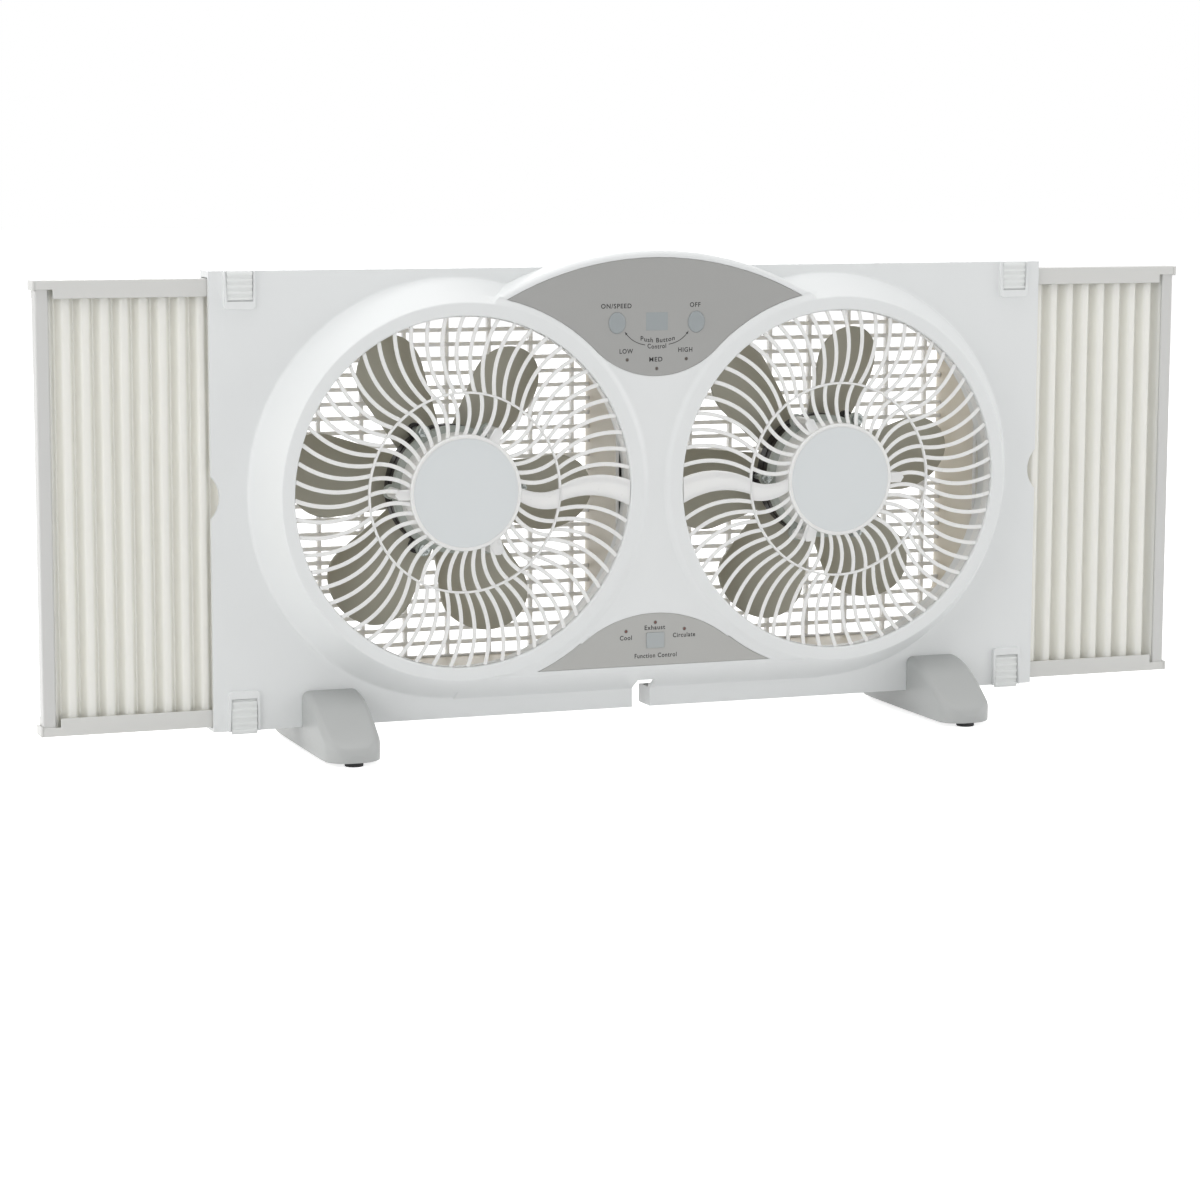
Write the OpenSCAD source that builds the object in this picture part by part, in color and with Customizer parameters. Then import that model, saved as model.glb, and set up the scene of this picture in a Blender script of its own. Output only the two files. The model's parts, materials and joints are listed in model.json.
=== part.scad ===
// Twin window fan with two pull-out accordion side panels, standing on two saddle feet.
// Millimetres. +Z is up and the control side faces -Y. The origin lies on the surface that the
// fan stands on, under the middle of the whole object's box.

/* [Body] */
// Width of the housing between its side edges
body_w = 622; // [618:1:630]
// Height of the front plate
body_h = 312; // [311:1:316]
// Thickness of the front plate
plate_t = 3; // [2.5:0.1:3]
// Depth of the channels that guide the side panels
channel_d = 21.2; // [21:0.1:22]
// Distance from the plate's front to the back of the rear cover
back_y = 65; // [62:1:70]
// Wall thickness of the mouldings
wall = 2.4; // [2:0.1:2.5]

/* [Fans] */
// Distance of each fan's axis from the middle
fan_x = 140; // [139:0.5:141]
// Height of the fan axes above the plate's bottom edge
fan_z = 160.5; // [160:0.5:161]
// Radius of the round air opening
opening_r = 120.5; // [120:0.1:121]
// Distance that the grilles stand in front of the plate
rim_y = 30; // [29:0.5:31]
// Number of blades on an impeller
blades = 6; // [5:1:7]
// Radius at the blade tips
tip_r = 112; // [108:1:114]
// Pitch of the blades from the fan's plane
blade_pitch = 24; // [20:1:28]
// Angle at which the left impeller is parked
left_park = -6; // [-30:1:30]
// Angle at which the right impeller is parked
right_park = 7; // [-30:1:30]

/* [Front grille] */
// Spokes between the middle ring and the rim
outer_spokes = 60; // [48:2:60]
// Spokes between the hub and the middle ring
inner_spokes = 40; // [32:2:40]
// Width of a spoke
spoke_w = 2; // [1.6:0.1:2.2]
// Radius of the hub disc
hub_r = 40; // [38:0.5:41]
// Radius of the middle ring
ring_r = 68.5; // [68:0.5:69]

/* [Side panels] */
// Distance from the middle to the end of a pulled-out side panel
reach = 428.3; // [420:0.1:430]
// Distance from one fold of a pulled-out side panel to the next
pleat_pitch = 13.05; // [12:0.05:14]
// Thickness of the folded sheet
sheet_t = 1; // [0.8:0.1:1.2]

/* [Feet] */
// Height of the plate's bottom edge above the ground
foot_h = 18; // [18:1:22]
// Distance of each foot's middle from the fan's middle
foot_x = 229; // [226:1:232]
// Width of a foot
foot_w = 40; // [36:1:42]

/* [Hidden] */
$fn = 96;
LEFT = -1;
RIGHT = 1;
gap = 0.2;
// Front of the plate in the object's own frame: the feet reach 64.5 forwards and 84.5 back
face_y = -10;
foot_front = -64.5;
foot_back = 84.5;

// Raised front: rings and centre
raised_y = -27.5;
ring_slope_r = 142.8;
ring_slope_y = -5.5;
ring_slope = 62;
ring_root = 2;
ring_nose = 1.5;
cove_w = 6.5;
duct_r = 126;
lip_y = -26;
arch_r = 235.5;
arch_z = 88.3;
arch_fillet = 4;
notch_w = 13.3;
notch_h = 21;
grip_r = 20.5;
grip_depth = 6;

// Channels for the rails
roof_t = 4.5;
floor_t = 2.3;
lip_t = 2;
lip_h = 13;

// Air chambers of the rear cover
chamber_w = 121.5;
chamber_h = 126.5;
chamber_corner = 42;
rear_wall = 2.5;
rear_corner = 12;
screw_x = 255.5;
screw_high = 281;
screw_low = 40;
screw_mid = [96, 225];
boss_r = 6;
boss_end = 10;

// Front grille
grille_depth = 4.4;
spoke_front = 29.2;
post_r = 3.6;
post_ring = 46.5;
post_back = 6.2;
arm_extra = 1.2;
lead_r = 1.6;
outer_chord = 26;
outer_bow = 5.6;
inner_chord = 13.5;
inner_bow = 2.7;
outer_mid = 95;
inner_mid = 54;
outer_pitch = 360 / outer_spokes;
inner_pitch = 360 / inner_spokes;

// Rear grille
bar_pitch = 10.1;
bar_t = 1.8;
rib_pitch = 31.4;
rib_t = 2.6;
bars_from = 57;
ribs_from = 60.5;

// Motors
bell_r = 44;
stator_r = 43.5;
bore_r = 23;
core_r = 22.6;
shaft_r = 4;
run_gap = 0.05;
bolt_ring = 47;
bolt_r = 2;

// Impeller
hub_out = 34;
hub_front = 22;
hub_rear = 46;
blade_mid = 30;
blade_t = 2.2;
blade_camber_r = 80;
blade_cap = 28;
root_half = 17;

// Controls
button_r = 6.1;
button_tall = 1.18;
button_x = 29.5;
button_z = 274.3;
window_w = 15.8;
window_h = 12.2;
window_z = 275;
lamp_r = 0.95;
lamp_x = 22;
speed_z = [248.7, 242.3];
mode_z = [58.8, 64.3];
function_z = 51.7;
function_w = 12.8;
function_h = 10.5;
panel_t = 0.8;
panel_y = -27.3;
board_y = -16.5;
board_t = 1.6;
switch_h = 5.1;
press_gap = 1.1;
side_arc_r = 134.2;

// Side panels
post_w = 8.7;
cap_t = 2;
rail_front = 4;
rail_back = 18.6;
rail_t = 1.4;
rail_h = 12;
band_h = 6;
rail_inner = 180;
rail_top = 307;
rail_low = 3;
pleat_near = 264;
pleat_front = 6;
pleat_back = 16.7;

// Slide locks
lock_x = 290;
lock_w = 18;
lock_t = 2.2;
frame_w = 22;
frame_t = 1;
frame_corner = 2;
lock_stem_w = 8;
lock_high = 291.5;
lock_tall = 20.5;
lock_low_tall = 24;
lock_stem_high = 295;
lock_stem_low = 9;

// ---- helpers -------------------------------------------------------------------------------

// Body frame: the plate's front is y 0 and its bottom edge is z 0
module body_frame() translate([0, face_y, foot_h]) children();

// A flat outline seen from the front, extruded from y0 back to y1
module slab(y0, y1) rotate([90, 0, 0]) translate([0, 0, -y1]) linear_extrude(y1 - y0) children();

// Outline of [radius, y] points turned about a fan's axis
module turned(points) rotate([90, 0, 0]) rotate_extrude() polygon([for (p = points) [p[0], -p[1]]]);

// Place a piece on a fan's axis; drawn as seen from the front, with its z towards the viewer
module on_fan(side) translate([side * fan_x, 0, fan_z]) rotate([90, 0, 0]) children();
module at_fan(side) translate([side * fan_x, 0, fan_z]) children();

// Grilles and motor mounts of the right fan are the mirror image of the left fan's
module handed(side) mirror([side == RIGHT ? 1 : 0, 0, 0]) children();

module rounded(w, h, r) {
    square([w - 2 * r, h], center = true);
    square([w, h - 2 * r], center = true);
    for (sx = [-1, 1], sz = [-1, 1])
        translate([sx * (w / 2 - r), sz * (h / 2 - r)]) circle(r);
}

function polar(r, a) = [r * cos(a), r * sin(a)];

// ---- front cover ---------------------------------------------------------------------------

// A ring's section is a slope that rises out of the plate with a hollow root fillet and turns
// over a round nose to the face; drawn in by t for the inside of the shell
slope_run = cos(ring_slope) / sin(ring_slope);
function slope_r(y) = ring_slope_r + (y - ring_slope_y) * slope_run;
root_r = slope_r(0) + ring_root * tan(ring_slope / 2);
nose_y = ring_nose - rim_y;
nose_r = slope_r(nose_y) - ring_nose / sin(ring_slope);
function base_y(t) = t > 0 ? plate_t + 1 : plate_t;
function ring_profile(t) = concat([[0, base_y(t)], [t > 0 ? slope_r(0) - t : root_r, base_y(t)]],
    t > 0 ? [[slope_r(0) - t, 0]] : [for (i = [0:4]) [root_r - ring_root * sin(ring_slope * i / 4),
        -ring_root * (1 - cos(ring_slope * i / 4))]],
    t > 0 ? [[slope_r(nose_y) - t, nose_y + t]] : [for (i = [0:4]) let (a = ring_slope * (4 - i) / 4)
        [nose_r + ring_nose * sin(a), nose_y - ring_nose * cos(a)]],
    [[0, t - rim_y]]);

// Centre between the rings: lower slope and arched top, drawn in by t, up to a face at y face
module centre_block(t, face) intersection() {
    translate([-fan_x, 0, 0]) rotate([90, 0, 90]) linear_extrude(2 * fan_x)
        polygon([[base_y(t), fan_z - slope_r(0) + t - 1.4], [0, fan_z - slope_r(0) + t - 1.4],
            [-1.6, fan_z - slope_r(0) + t], [-24.5 + t / 2, 28.9 + t],
            [-26.6 + t, 30.4 + t], [raised_y + t, 32.4 + t], [face + t, 33.4 + t], [face + t, 340],
            [base_y(t), 340]]);
    translate([0, 0, arch_z]) turned([[0, base_y(t)], [arch_r - t, base_y(t)],
        for (a = [0:15:90]) [arch_r - t - arch_fillet * (1 - cos(a)), face + t + arch_fillet * (1 - sin(a))],
        [0, face + t]]);
}

// Soft step from a ring's flat face down to the lower centre
cove_rise = rim_y + raised_y;
function cove_profile() = concat([[nose_r - 4, raised_y + 1], [nose_r - 4, -rim_y]],
    [for (i = [0:8]) [nose_r + cove_w * i / 8, raised_y - cove_rise * (1 + cos(180 * i / 8)) / 2]],
    [[nose_r + cove_w, raised_y + 1]]);

module raised(t) {
    for (side = [LEFT, RIGHT]) at_fan(side) turned(ring_profile(t));
    centre_block(t, raised_y);
    if (t == 0) intersection() {
        centre_block(0, -rim_y);
        for (side = [LEFT, RIGHT]) at_fan(side) turned(cove_profile());
    }
}

module arch_roof() intersection() {
    translate([0, 0, arch_z]) turned([[arch_r - wall, 0], [arch_r, 0], [arch_r, channel_d],
        [arch_r - wall, channel_d]]);
    translate([-100, -1, body_h - roof_t]) cube([200, channel_d + 2, 30]);
}

module channel(z0, h, lip_z) {
    translate([-body_w / 2, 0, z0]) cube([body_w, channel_d, h]);
    translate([-body_w / 2, channel_d - lip_t, lip_z]) cube([body_w, lip_t, lip_h]);
}

// Raised border on three sides of a slide lock, with two round corners and open at the plate's edge
module lock_frame(side, top) {
    z0 = top ? lock_high - 2.9 : 0;
    h = top ? body_h - z0 : lock_low_tall + 3;
    slab(-2.6, gap) translate([side * lock_x, 0]) difference() {
        intersection() {
            translate([0, top ? z0 + h : z0]) rounded(frame_w, 2 * h, frame_corner);
            translate([-frame_w / 2, z0]) square([frame_w, h]);
        }
        translate([0, top ? z0 + h : z0]) rounded(frame_w - 2 * frame_t, 2 * h - 2.8, frame_corner - 1);
    }
}

module lock_slot(side, top) {
    z0 = top ? lock_stem_high - 1 : lock_stem_low - 6.4;
    translate([side * lock_x - lock_stem_w / 2 - gap, -1, z0]) cube([lock_stem_w + 2 * gap, 6, 11.4]);
}

// Grey field's outline between the two rings: sides follow the rings, the tip is a round fillet
module upper_field(t) difference() {
    intersection() {
        translate([0, arch_z]) circle(231 - t);
        translate([-120, 302 - 65 + t]) square([240, 90]);
    }
    for (s = [-1, 1]) translate([s * fan_x, fan_z]) circle(side_arc_r + t);
    difference() {
        translate([-47, 230]) square([94, 41]);
        translate([0, 302]) circle(65 - t);
    }
}

module lower_field(t) difference() {
    translate([-92, 33.8 + t]) square([184, 37.3 - 2 * t]);
    for (s = [-1, 1]) translate([s * fan_x, fan_z]) circle(137 + t);
    difference() {
        translate([-56, 52]) square([112, 24]);
        translate([0, 71.1 - 88]) circle(88 - t);
    }
}

module oval(r) scale([1, button_tall]) circle(r);

module button_holes(r) {
    for (s = [-1, 1]) translate([s * button_x, button_z]) oval(r);
}

module lamp_points() {
    for (s = [-1, 0, 1]) translate([s * lamp_x, s == 0 ? speed_z[1] : speed_z[0]]) children();
}

module mode_points() {
    for (s = [-1, 0, 1]) translate([s * lamp_x, s == 0 ? mode_z[1] : mode_z[0]]) children();
}

module screw_places(mid = true) {
    for (s = [-1, 1], z = [screw_low, screw_high]) translate([s * screw_x, 0, z]) children();
    if (mid) for (z = screw_mid) translate([0, 0, z]) children();
}

module front_cover() color("#e4e7e7") body_frame() difference() {
    union() {
        difference() {
            union() {
                translate([-body_w / 2, 0, 0]) cube([body_w, plate_t, body_h]);
                raised(0);
            }
            raised(wall);
        }
        for (side = [LEFT, RIGHT]) at_fan(side) turned([[duct_r - 8, plate_t], [duct_r + wall, plate_t],
            [duct_r + wall, -28.6], [duct_r - 8, -28.6]]);
        difference() {
            channel(body_h - roof_t, roof_t, body_h - lip_h);
            translate([0, -1, arch_z]) rotate([-90, 0, 0]) cylinder(h = 40, r = arch_r - wall);
        }
        channel(0, floor_t, 0);
        arch_roof();
        for (s = [LEFT, RIGHT], top = [true, false]) lock_frame(s, top);
        screw_places(false) rotate([-90, 0, 0]) cylinder(h = boss_end, r = 4.5);
        for (z = screw_mid) translate([0, raised_y + 1, z]) rotate([-90, 0, 0])
            cylinder(h = boss_end - raised_y - 1, r = 4.5);
    }
    // air openings: a duct behind a thick lip with a rounded mouth
    for (side = [LEFT, RIGHT]) at_fan(side) turned([[0, plate_t + 1], [duct_r, plate_t + 1],
        [duct_r, lip_y], [opening_r, lip_y], [opening_r, 1.4 - rim_y], [opening_r + 0.4, 0.4 - rim_y],
        [opening_r + 1.4, -rim_y], [opening_r + 1.4, -40], [0, -40]]);
    // recesses of the two grey fields, with holes for keys, window and lamps
    slab(-40, panel_y + panel_t) {
        upper_field(0);
        lower_field(0);
    }
    slab(-40, -20) {
        button_holes(button_r + 0.3);
        translate([0, window_z]) square([window_w - 2, window_h - 2], center = true);
        lamp_points() circle(lamp_r + 0.4);
        mode_points() circle(lamp_r + 0.4);
        translate([0, function_z]) square([function_w + 0.6, function_h + 0.6], center = true);
    }
    // grip hollows in the side edges, cord notch at the bottom, slots of the locks
    for (s = [-1, 1]) translate([s * (body_w / 2 + grip_r - grip_depth), -5, fan_z - 0.5])
        rotate([-90, 0, 0]) cylinder(h = 10, r = grip_r);
    translate([-notch_w / 2, -30, -1]) cube([notch_w, 60, notch_h + 1]);
    for (s = [LEFT, RIGHT], top = [true, false]) lock_slot(s, top);
    // ways for the motor leads
    for (s = [-1, 1]) translate([s * (fan_x - duct_r - 2) - 8, -24.8, fan_z - 5]) cube([16, 6, 10]);
    // pilot holes of the housing screws
    screw_places() translate([0, 2.5, 0]) rotate([-90, 0, 0]) cylinder(h = 10, r = 1.5);
}

// ---- rear cover ----------------------------------------------------------------------------

module rear_outline(t) translate([0, fan_z]) rounded(2 * (fan_x + chamber_w + rear_wall - t),
    2 * (chamber_h + rear_wall - t), rear_corner - t);

module rear_arch(t) intersection() {
    translate([0, arch_z]) circle(arch_r - 1 - t);
    translate([-118 + t, 200]) square([236 - 2 * t, 140]);
}

module chamber(side, t) translate([side * fan_x, fan_z])
    rounded(2 * (chamber_w + t), 2 * (chamber_h + t), chamber_corner + t);

module rear_cover() color("#dedcd4") body_frame() difference() {
    union() {
        difference() {
            union() {
                slab(plate_t + gap, back_y) rear_outline(0);
                slab(channel_d + 0.3, back_y) rear_arch(0);
            }
            slab(0, back_y - rear_wall) rear_outline(rear_wall);
            slab(channel_d + 0.3 + rear_wall, back_y - rear_wall) rear_arch(rear_wall);
        }
        for (side = [LEFT, RIGHT]) slab(plate_t + gap, back_y - 1) chamber(side, rear_wall);
        screw_places() translate([0, boss_end + gap, 0]) rotate([-90, 0, 0])
            cylinder(h = back_y - boss_end - 1, r = boss_r);
        // shelf for the two capacitors
        translate([-17, 33, 112]) cube([34, 2, 92]);
    }
    for (side = [LEFT, RIGHT]) slab(-1, back_y + 1) chamber(side, 0);
    screw_places() {
        rotate([-90, 0, 0]) cylinder(h = back_y, r = 1.8);
        translate([0, 16, 0]) rotate([-90, 0, 0]) cylinder(h = back_y, r = 4.2);
    }
    translate([0, 40, 52]) rotate([-90, 0, 0]) cylinder(h = 40, r = 7);
}

// Separate straight bars and ribs: each is one closed box, so air gaps stay open in collision
module rear_bars(side) color("#dedcd4") body_frame() intersection() {
    slab(bars_from, ribs_from) chamber(side, 0);
    at_fan(side) for (i = [-13:12]) translate([-130, bars_from - 1, (i + 0.5) * bar_pitch - bar_t / 2])
        cube([260, 8, bar_t]);
}

module rear_ribs(side) color("#dedcd4") body_frame() intersection() {
    slab(ribs_from, back_y) chamber(side, 0);
    at_fan(side) for (i = [-4:3]) translate([(i + 0.5) * rib_pitch - rib_t / 2, ribs_from - 1, -140])
        cube([rib_t, 8, 280]);
}

// ---- front grille --------------------------------------------------------------------------

// Angle of a spoke's middle line at radius r: each one bows sideways between its two ends
function bow(r, mid, half, rise) = asin(rise * (1 - ((r - mid) / half)^2) / r);
function outer_turn(r) = 0.4 + bow(r, outer_mid, outer_chord, outer_bow);
function inner_turn(r) = 0.2 - 0.036 * (r - hub_r) - bow(r, inner_mid, inner_chord, inner_bow);
function spoke_half(r) = asin(0.53 * spoke_w / r);

// Gap between spoke k and the next one, as points out along one spoke and back along the other
function outer_gap(k, from) = [
    for (i = [0:7]) let (r = from + (opening_r - from) * i / 7)
        polar(r, outer_pitch * k + outer_turn(r) + spoke_half(r) + (k == 0 ? arm_extra : 0)),
    polar(opening_r, outer_pitch * (k + 0.5) + 0.4),
    for (i = [7:-1:0]) let (r = from + (opening_r - from) * i / 7)
        polar(r, outer_pitch * (k + 1) + outer_turn(r) - spoke_half(r))];
function inner_gap(k, from) = [
    for (i = [0:5]) let (r = from + (ring_r - 0.9 - from) * i / 5)
        polar(r, inner_pitch * k + inner_turn(r) + spoke_half(r)),
    for (i = [5:-1:0]) let (r = from + (ring_r - 0.9 - from) * i / 5)
        polar(r, inner_pitch * (k + 1) + inner_turn(r) - spoke_half(r))];

// Gaps near a motor post start outside it
function near_post(k) = min([for (a = [60, 180, 300]) abs(inner_pitch * (k + 0.5) - 2.3 - a)]) < 7.5;
function ring_loop(r, n) = [for (i = [0:n - 1]) polar(r, 360 * i / n)];

// All spokes at once: a disc with a hole for every gap. The broad arm is the gap that is left
// out of each ring, just below the spoke that points to the fan's middle
module spokes() {
    gaps = [for (k = [0:outer_spokes - 2]) outer_gap(k, ring_r + 0.9),
        for (k = [0:inner_spokes - 2]) inner_gap(k, near_post(k) ? post_ring + 4.2 : hub_r + 0.8)];
    loops = concat([ring_loop(opening_r + 2.2, 120)], gaps);
    counts = [for (l = loops) len(l)];
    starts = [for (i = 0, at = 0; i < len(loops); at = at + counts[i], i = i + 1) at];
    translate([0, 0, spoke_front - grille_depth]) linear_extrude(grille_depth) polygon(
        [for (l = loops) each l],
        [for (i = [0:len(loops) - 1]) [for (j = [0:counts[i] - 1]) starts[i] + j]]);
}

// Post for one of the motor's three ears, joined to the hub by a web
module motor_post(a) rotate([0, 0, a]) {
    translate([post_ring, 0, post_back]) cylinder(h = 28 - post_back, r = post_r);
    translate([hub_r - 1, -2.6, 18]) cube([post_ring - hub_r + 1, 5.2, 9.6]);
}

// The ring behind the cover's lip carries the spokes by their rear edge
module front_grille(side) color("#f2f3f3") body_frame() on_fan(side) handed(side) difference() {
    union() {
        spokes();
        rotate_extrude() polygon([[opening_r + 0.5, 25.8], [duct_r - 0.5, 25.8], [duct_r - 0.5, 16],
            [opening_r + 0.5, 16]]);
        rotate_extrude() polygon([[0, rim_y], [hub_r - 1, rim_y], [hub_r, rim_y - 1], [hub_r, 6],
            [hub_r - 2.2, 6], [hub_r - 2.2, rim_y - 2.6], [0, rim_y - 2.6]]);
        for (a = [60, 180, 300]) motor_post(a);
    }
    rotate_extrude() translate([opening_r - 0.3, 25.8]) square([10, 8]);
    for (a = [60, 180, 300]) rotate([0, 0, a]) translate([post_ring, 0, post_back - 1])
        cylinder(h = 15, r = 1.5);
    translate([118, -5, 15]) cube([12, 10, 9.5]);
    translate([36, -9, 5]) cube([6, 8, 15]);
}

// ---- motors --------------------------------------------------------------------------------

module ears(r, t, hole) for (a = [0:60:300]) rotate([0, 0, a]) difference() {
    union() {
        translate([post_ring, 0, 0]) cylinder(h = t, r = r);
        translate([30, -r, 0]) cube([post_ring - 30, 2 * r, t]);
    }
    translate([a % 120 == 0 ? bolt_ring : post_ring, 0, -1]) cylinder(h = t + 2, r = hole);
    translate([0, 0, -1]) cylinder(h = t + 2, r = 35);
}

module motor_front_bell(side) color("#8f9496") body_frame() on_fan(side) handed(side) difference() {
    union() {
        translate([0, 0, 3]) cylinder(h = 3, r = bell_r);
        translate([0, 0, 3]) ears(5, 3, 2.2);
        translate([0, 0, -1]) cylinder(h = 5, r = bell_r);
        translate([0, 0, 5]) cylinder(h = 2, r = 36);
        translate([0, 0, 6]) cylinder(h = 6, r = 10);
    }
    translate([0, 0, -2]) cylinder(h = 6.5, r = bell_r - 3);
    for (a = [30:60:330]) rotate([0, 0, a]) translate([22, -6, 0]) cube([10, 12, 10]);
    for (a = [0:120:240]) rotate([0, 0, a]) translate([bolt_ring, 0, -2]) cylinder(h = 12, r = 2.2);
    for (a = [60:120:300]) rotate([0, 0, a]) translate([post_ring, 0, -2]) cylinder(h = 5, r = 3.5);
    translate([0, 0, -1]) cylinder(h = 20, r = 7.5);
}

module motor_rear_bell(side) color("#8f9496") body_frame() on_fan(side) handed(side) difference() {
    union() {
        translate([0, 0, -18]) cylinder(h = 9, r = bell_r);
        translate([0, 0, -15]) difference() {
            ears(5, 3, 2.2);
            for (a = [60:120:300]) rotate([0, 0, a]) translate([bell_r - 0.5, -8, -1]) cube([12, 16, 5]);
        }
        translate([0, 0, -20.6]) cylinder(h = 5, r = 11);
    }
    translate([0, 0, -15.8]) cylinder(h = 8, r = bell_r - 3);
    for (a = [0:60:300]) rotate([0, 0, a]) translate([20, -5, -20]) cube([14, 10, 8]);
    for (a = [0:120:240]) rotate([0, 0, a]) translate([bolt_ring, 0, -20]) {
        cylinder(h = 12, r = 2.2);
        cylinder(h = 5, r = 4.4);
    }
    translate([0, 0, -22]) cylinder(h = 10, r = 7.5);
}

module stator(side) color("#3b3d40") body_frame() at_fan(side) turned([[bore_r, 1.2], [stator_r, 1.2],
    [stator_r, 8.8], [bore_r, 8.8]]);

module windings(side) color("#7a3f22") body_frame() at_fan(side) {
    turned([[27, -2.6], [36, -2.6], [38, 0], [38, 1], [27, 1]]);
    turned([[27, 9], [38, 9], [38, 12], [36, 14.6], [27, 14.6]]);
}

// Three long bolts hold the bells together; three short screws hold the motor to the posts
module motor_screws(side) color("#b9bdc0") body_frame() on_fan(side) handed(side) {
    for (a = [0:120:240]) rotate([0, 0, a]) translate([bolt_ring, 0, 0]) {
        translate([0, 0, -18]) cylinder(h = 24.5, r = bolt_r);
        translate([0, 0, 6.1]) difference() {
            cylinder(h = 3, r = 4.2, $fn = 6);
            translate([-3, -0.5, 1.8]) cube([6, 1, 2]);
            translate([-0.5, -3, 1.8]) cube([1, 6, 2]);
        }
        translate([0, 0, -18.4]) cylinder(h = 3.2, r = 3.8, $fn = 6);
    }
    for (a = [60, 180, 300]) rotate([0, 0, a]) translate([post_ring, 0, 0]) {
        translate([0, 0, 0.5]) cylinder(h = 2.4, r = 3);
        translate([0, 0, 1]) cylinder(h = 16, r = 1.4);
    }
}

module bearings(side) color("#a8824a") body_frame() at_fan(side) for (y = [-11.8, 14.6])
    turned([[shaft_r + run_gap, y], [7.45, y], [7.45, y + 5.8], [shaft_r + run_gap, y + 5.8]]);

module shaft(side) color("#c4c8cb") body_frame() at_fan(side)
    turned([[0, -13], [shaft_r - 0.5, -13], [shaft_r, -12.5], [shaft_r, 47.5], [shaft_r - 0.5, 48], [0, 48]]);

module rotor_core(side) color("#6d7073") body_frame() at_fan(side)
    turned([[shaft_r, 0.6], [core_r, 0.6], [core_r, 9.4], [shaft_r, 9.4]]);

// ---- impellers -----------------------------------------------------------------------------

// Petal outline: straight flanks from the hub and a round cap
module petal() {
    mid = tip_r - blade_cap;
    lean = asin((blade_cap - root_half) / (mid - 30));
    polygon([[28, -root_half], polar(blade_cap, -90 - lean) + [mid, 0],
        polar(blade_cap, 90 + lean) + [mid, 0], [28, root_half]]);
    translate([mid, 0]) circle(blade_cap);
}

module blade() intersection() {
    translate([0, 0, -40]) linear_extrude(80) petal();
    rotate([blade_pitch, 0, 0]) translate([20, 0, -blade_camber_r]) rotate([0, 90, 0]) difference() {
        cylinder(h = 100, r = blade_camber_r + 2, $fn = 200);
        translate([0, 0, -1]) cylinder(h = 102, r = blade_camber_r + 2 - blade_t, $fn = 200);
    }
}

module impeller(side, park) color("#8b877a") body_frame() on_fan(side) rotate([0, 0, park]) difference() {
    union() {
        for (k = [0:blades - 1]) rotate([0, 0, k * 360 / blades]) translate([0, 0, -blade_mid]) blade();
        translate([0, 0, -hub_rear]) cylinder(h = hub_rear - hub_front, r = hub_out);
    }
    translate([0, 0, -hub_rear - 1]) difference() {
        cylinder(h = hub_rear - hub_front - 1.6, r = hub_out - 2.4);
        cylinder(h = 30, r = 9);
        for (a = [0:60:300]) rotate([0, 0, a]) translate([0, -1, 4]) cube([hub_out, 2, 30]);
    }
    translate([0, 0, -60]) cylinder(h = 20, r = 9.5);
    translate([0, 0, -60]) cylinder(h = 60, r = shaft_r);
}

module impeller_nut(side) color("#b9bdc0") body_frame() on_fan(side) difference() {
    translate([0, 0, -45]) cylinder(h = 4.8, r = 7.5, $fn = 6);
    translate([0, 0, -46]) cylinder(h = 8, r = shaft_r);
}

// ---- motor leads ---------------------------------------------------------------------------

// Lead from the motor's bell, out through the cup's wall and along the back of the broad arm
// to a plug in the hollow centre; each point is [radius, angle, height]
lead_y = 22.7;
function arm_angle(r) = r < ring_r ? inner_turn(r) - inner_pitch / 2 : outer_turn(r) - outer_pitch / 2 + 0.6;
lead_route = [[30, -6, 7], [30, -6, 9.5], [33, -6, 13], [37, -6, 14], [42, -6, 15], [46, -6, 18.5],
    [50, -6.5, 22], for (r = [56, 62, 68.5, 75, 82, 89, 96, 103, 110, 117]) [r, arm_angle(r), lead_y],
    [124, -0.8, lead_y], [134, 0, lead_y]];
lead_points = [for (p = lead_route) [p[0] * cos(p[1]), p[0] * sin(p[1]), p[2]]];

// Tube of n sides swept along points that mostly run in one plane, square to the vector flat
function unit(v) = v / norm(v);
function heading(pts, i) = unit(pts[min(i + 1, len(pts) - 1)] - pts[max(i - 1, 0)]);
module tube(pts, r, n, flat) {
    rings = [for (i = [0:len(pts) - 1])
        let (d = heading(pts, i), b = unit(cross(d, flat)), a = cross(b, d))
        for (j = [0:n - 1]) pts[i] + r * (cos(360 * j / n) * a + sin(360 * j / n) * b)];
    last = len(pts) - 1;
    polyhedron(rings, concat(
        [[for (j = [0:n - 1]) j]], [[for (j = [n - 1:-1:0]) last * n + j]],
        [for (i = [0:last - 1], j = [0:n - 1])
            [i * n + j, (i + 1) * n + j, (i + 1) * n + (j + 1) % n, i * n + (j + 1) % n]]));
}

module motor_lead(side) color("#d8d4c8") body_frame() on_fan(side) handed(side) {
    tube(lead_points, lead_r, 8, [0, 1, 0]);
    translate([133, -4, 18]) cube([5, 8, 6.5]);
}

// ---- controls ------------------------------------------------------------------------------

module upper_panel() color("#a3a49f") body_frame() difference() {
    slab(panel_y, panel_y + panel_t - 0.05) upper_field(0.2);
    slab(-40, 0) {
        button_holes(button_r + 0.25);
        translate([0, window_z]) square([window_w + 0.2, window_h + 0.2], center = true);
        lamp_points() circle(lamp_r + 0.15);
    }
}

module lower_panel() color("#a3a49f") body_frame() difference() {
    slab(panel_y, panel_y + panel_t - 0.05) lower_field(0.2);
    slab(-40, 0) {
        translate([0, function_z]) square([function_w + 0.5, function_h + 0.5], center = true);
        mode_points() circle(lamp_r + 0.15);
    }
}

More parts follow.
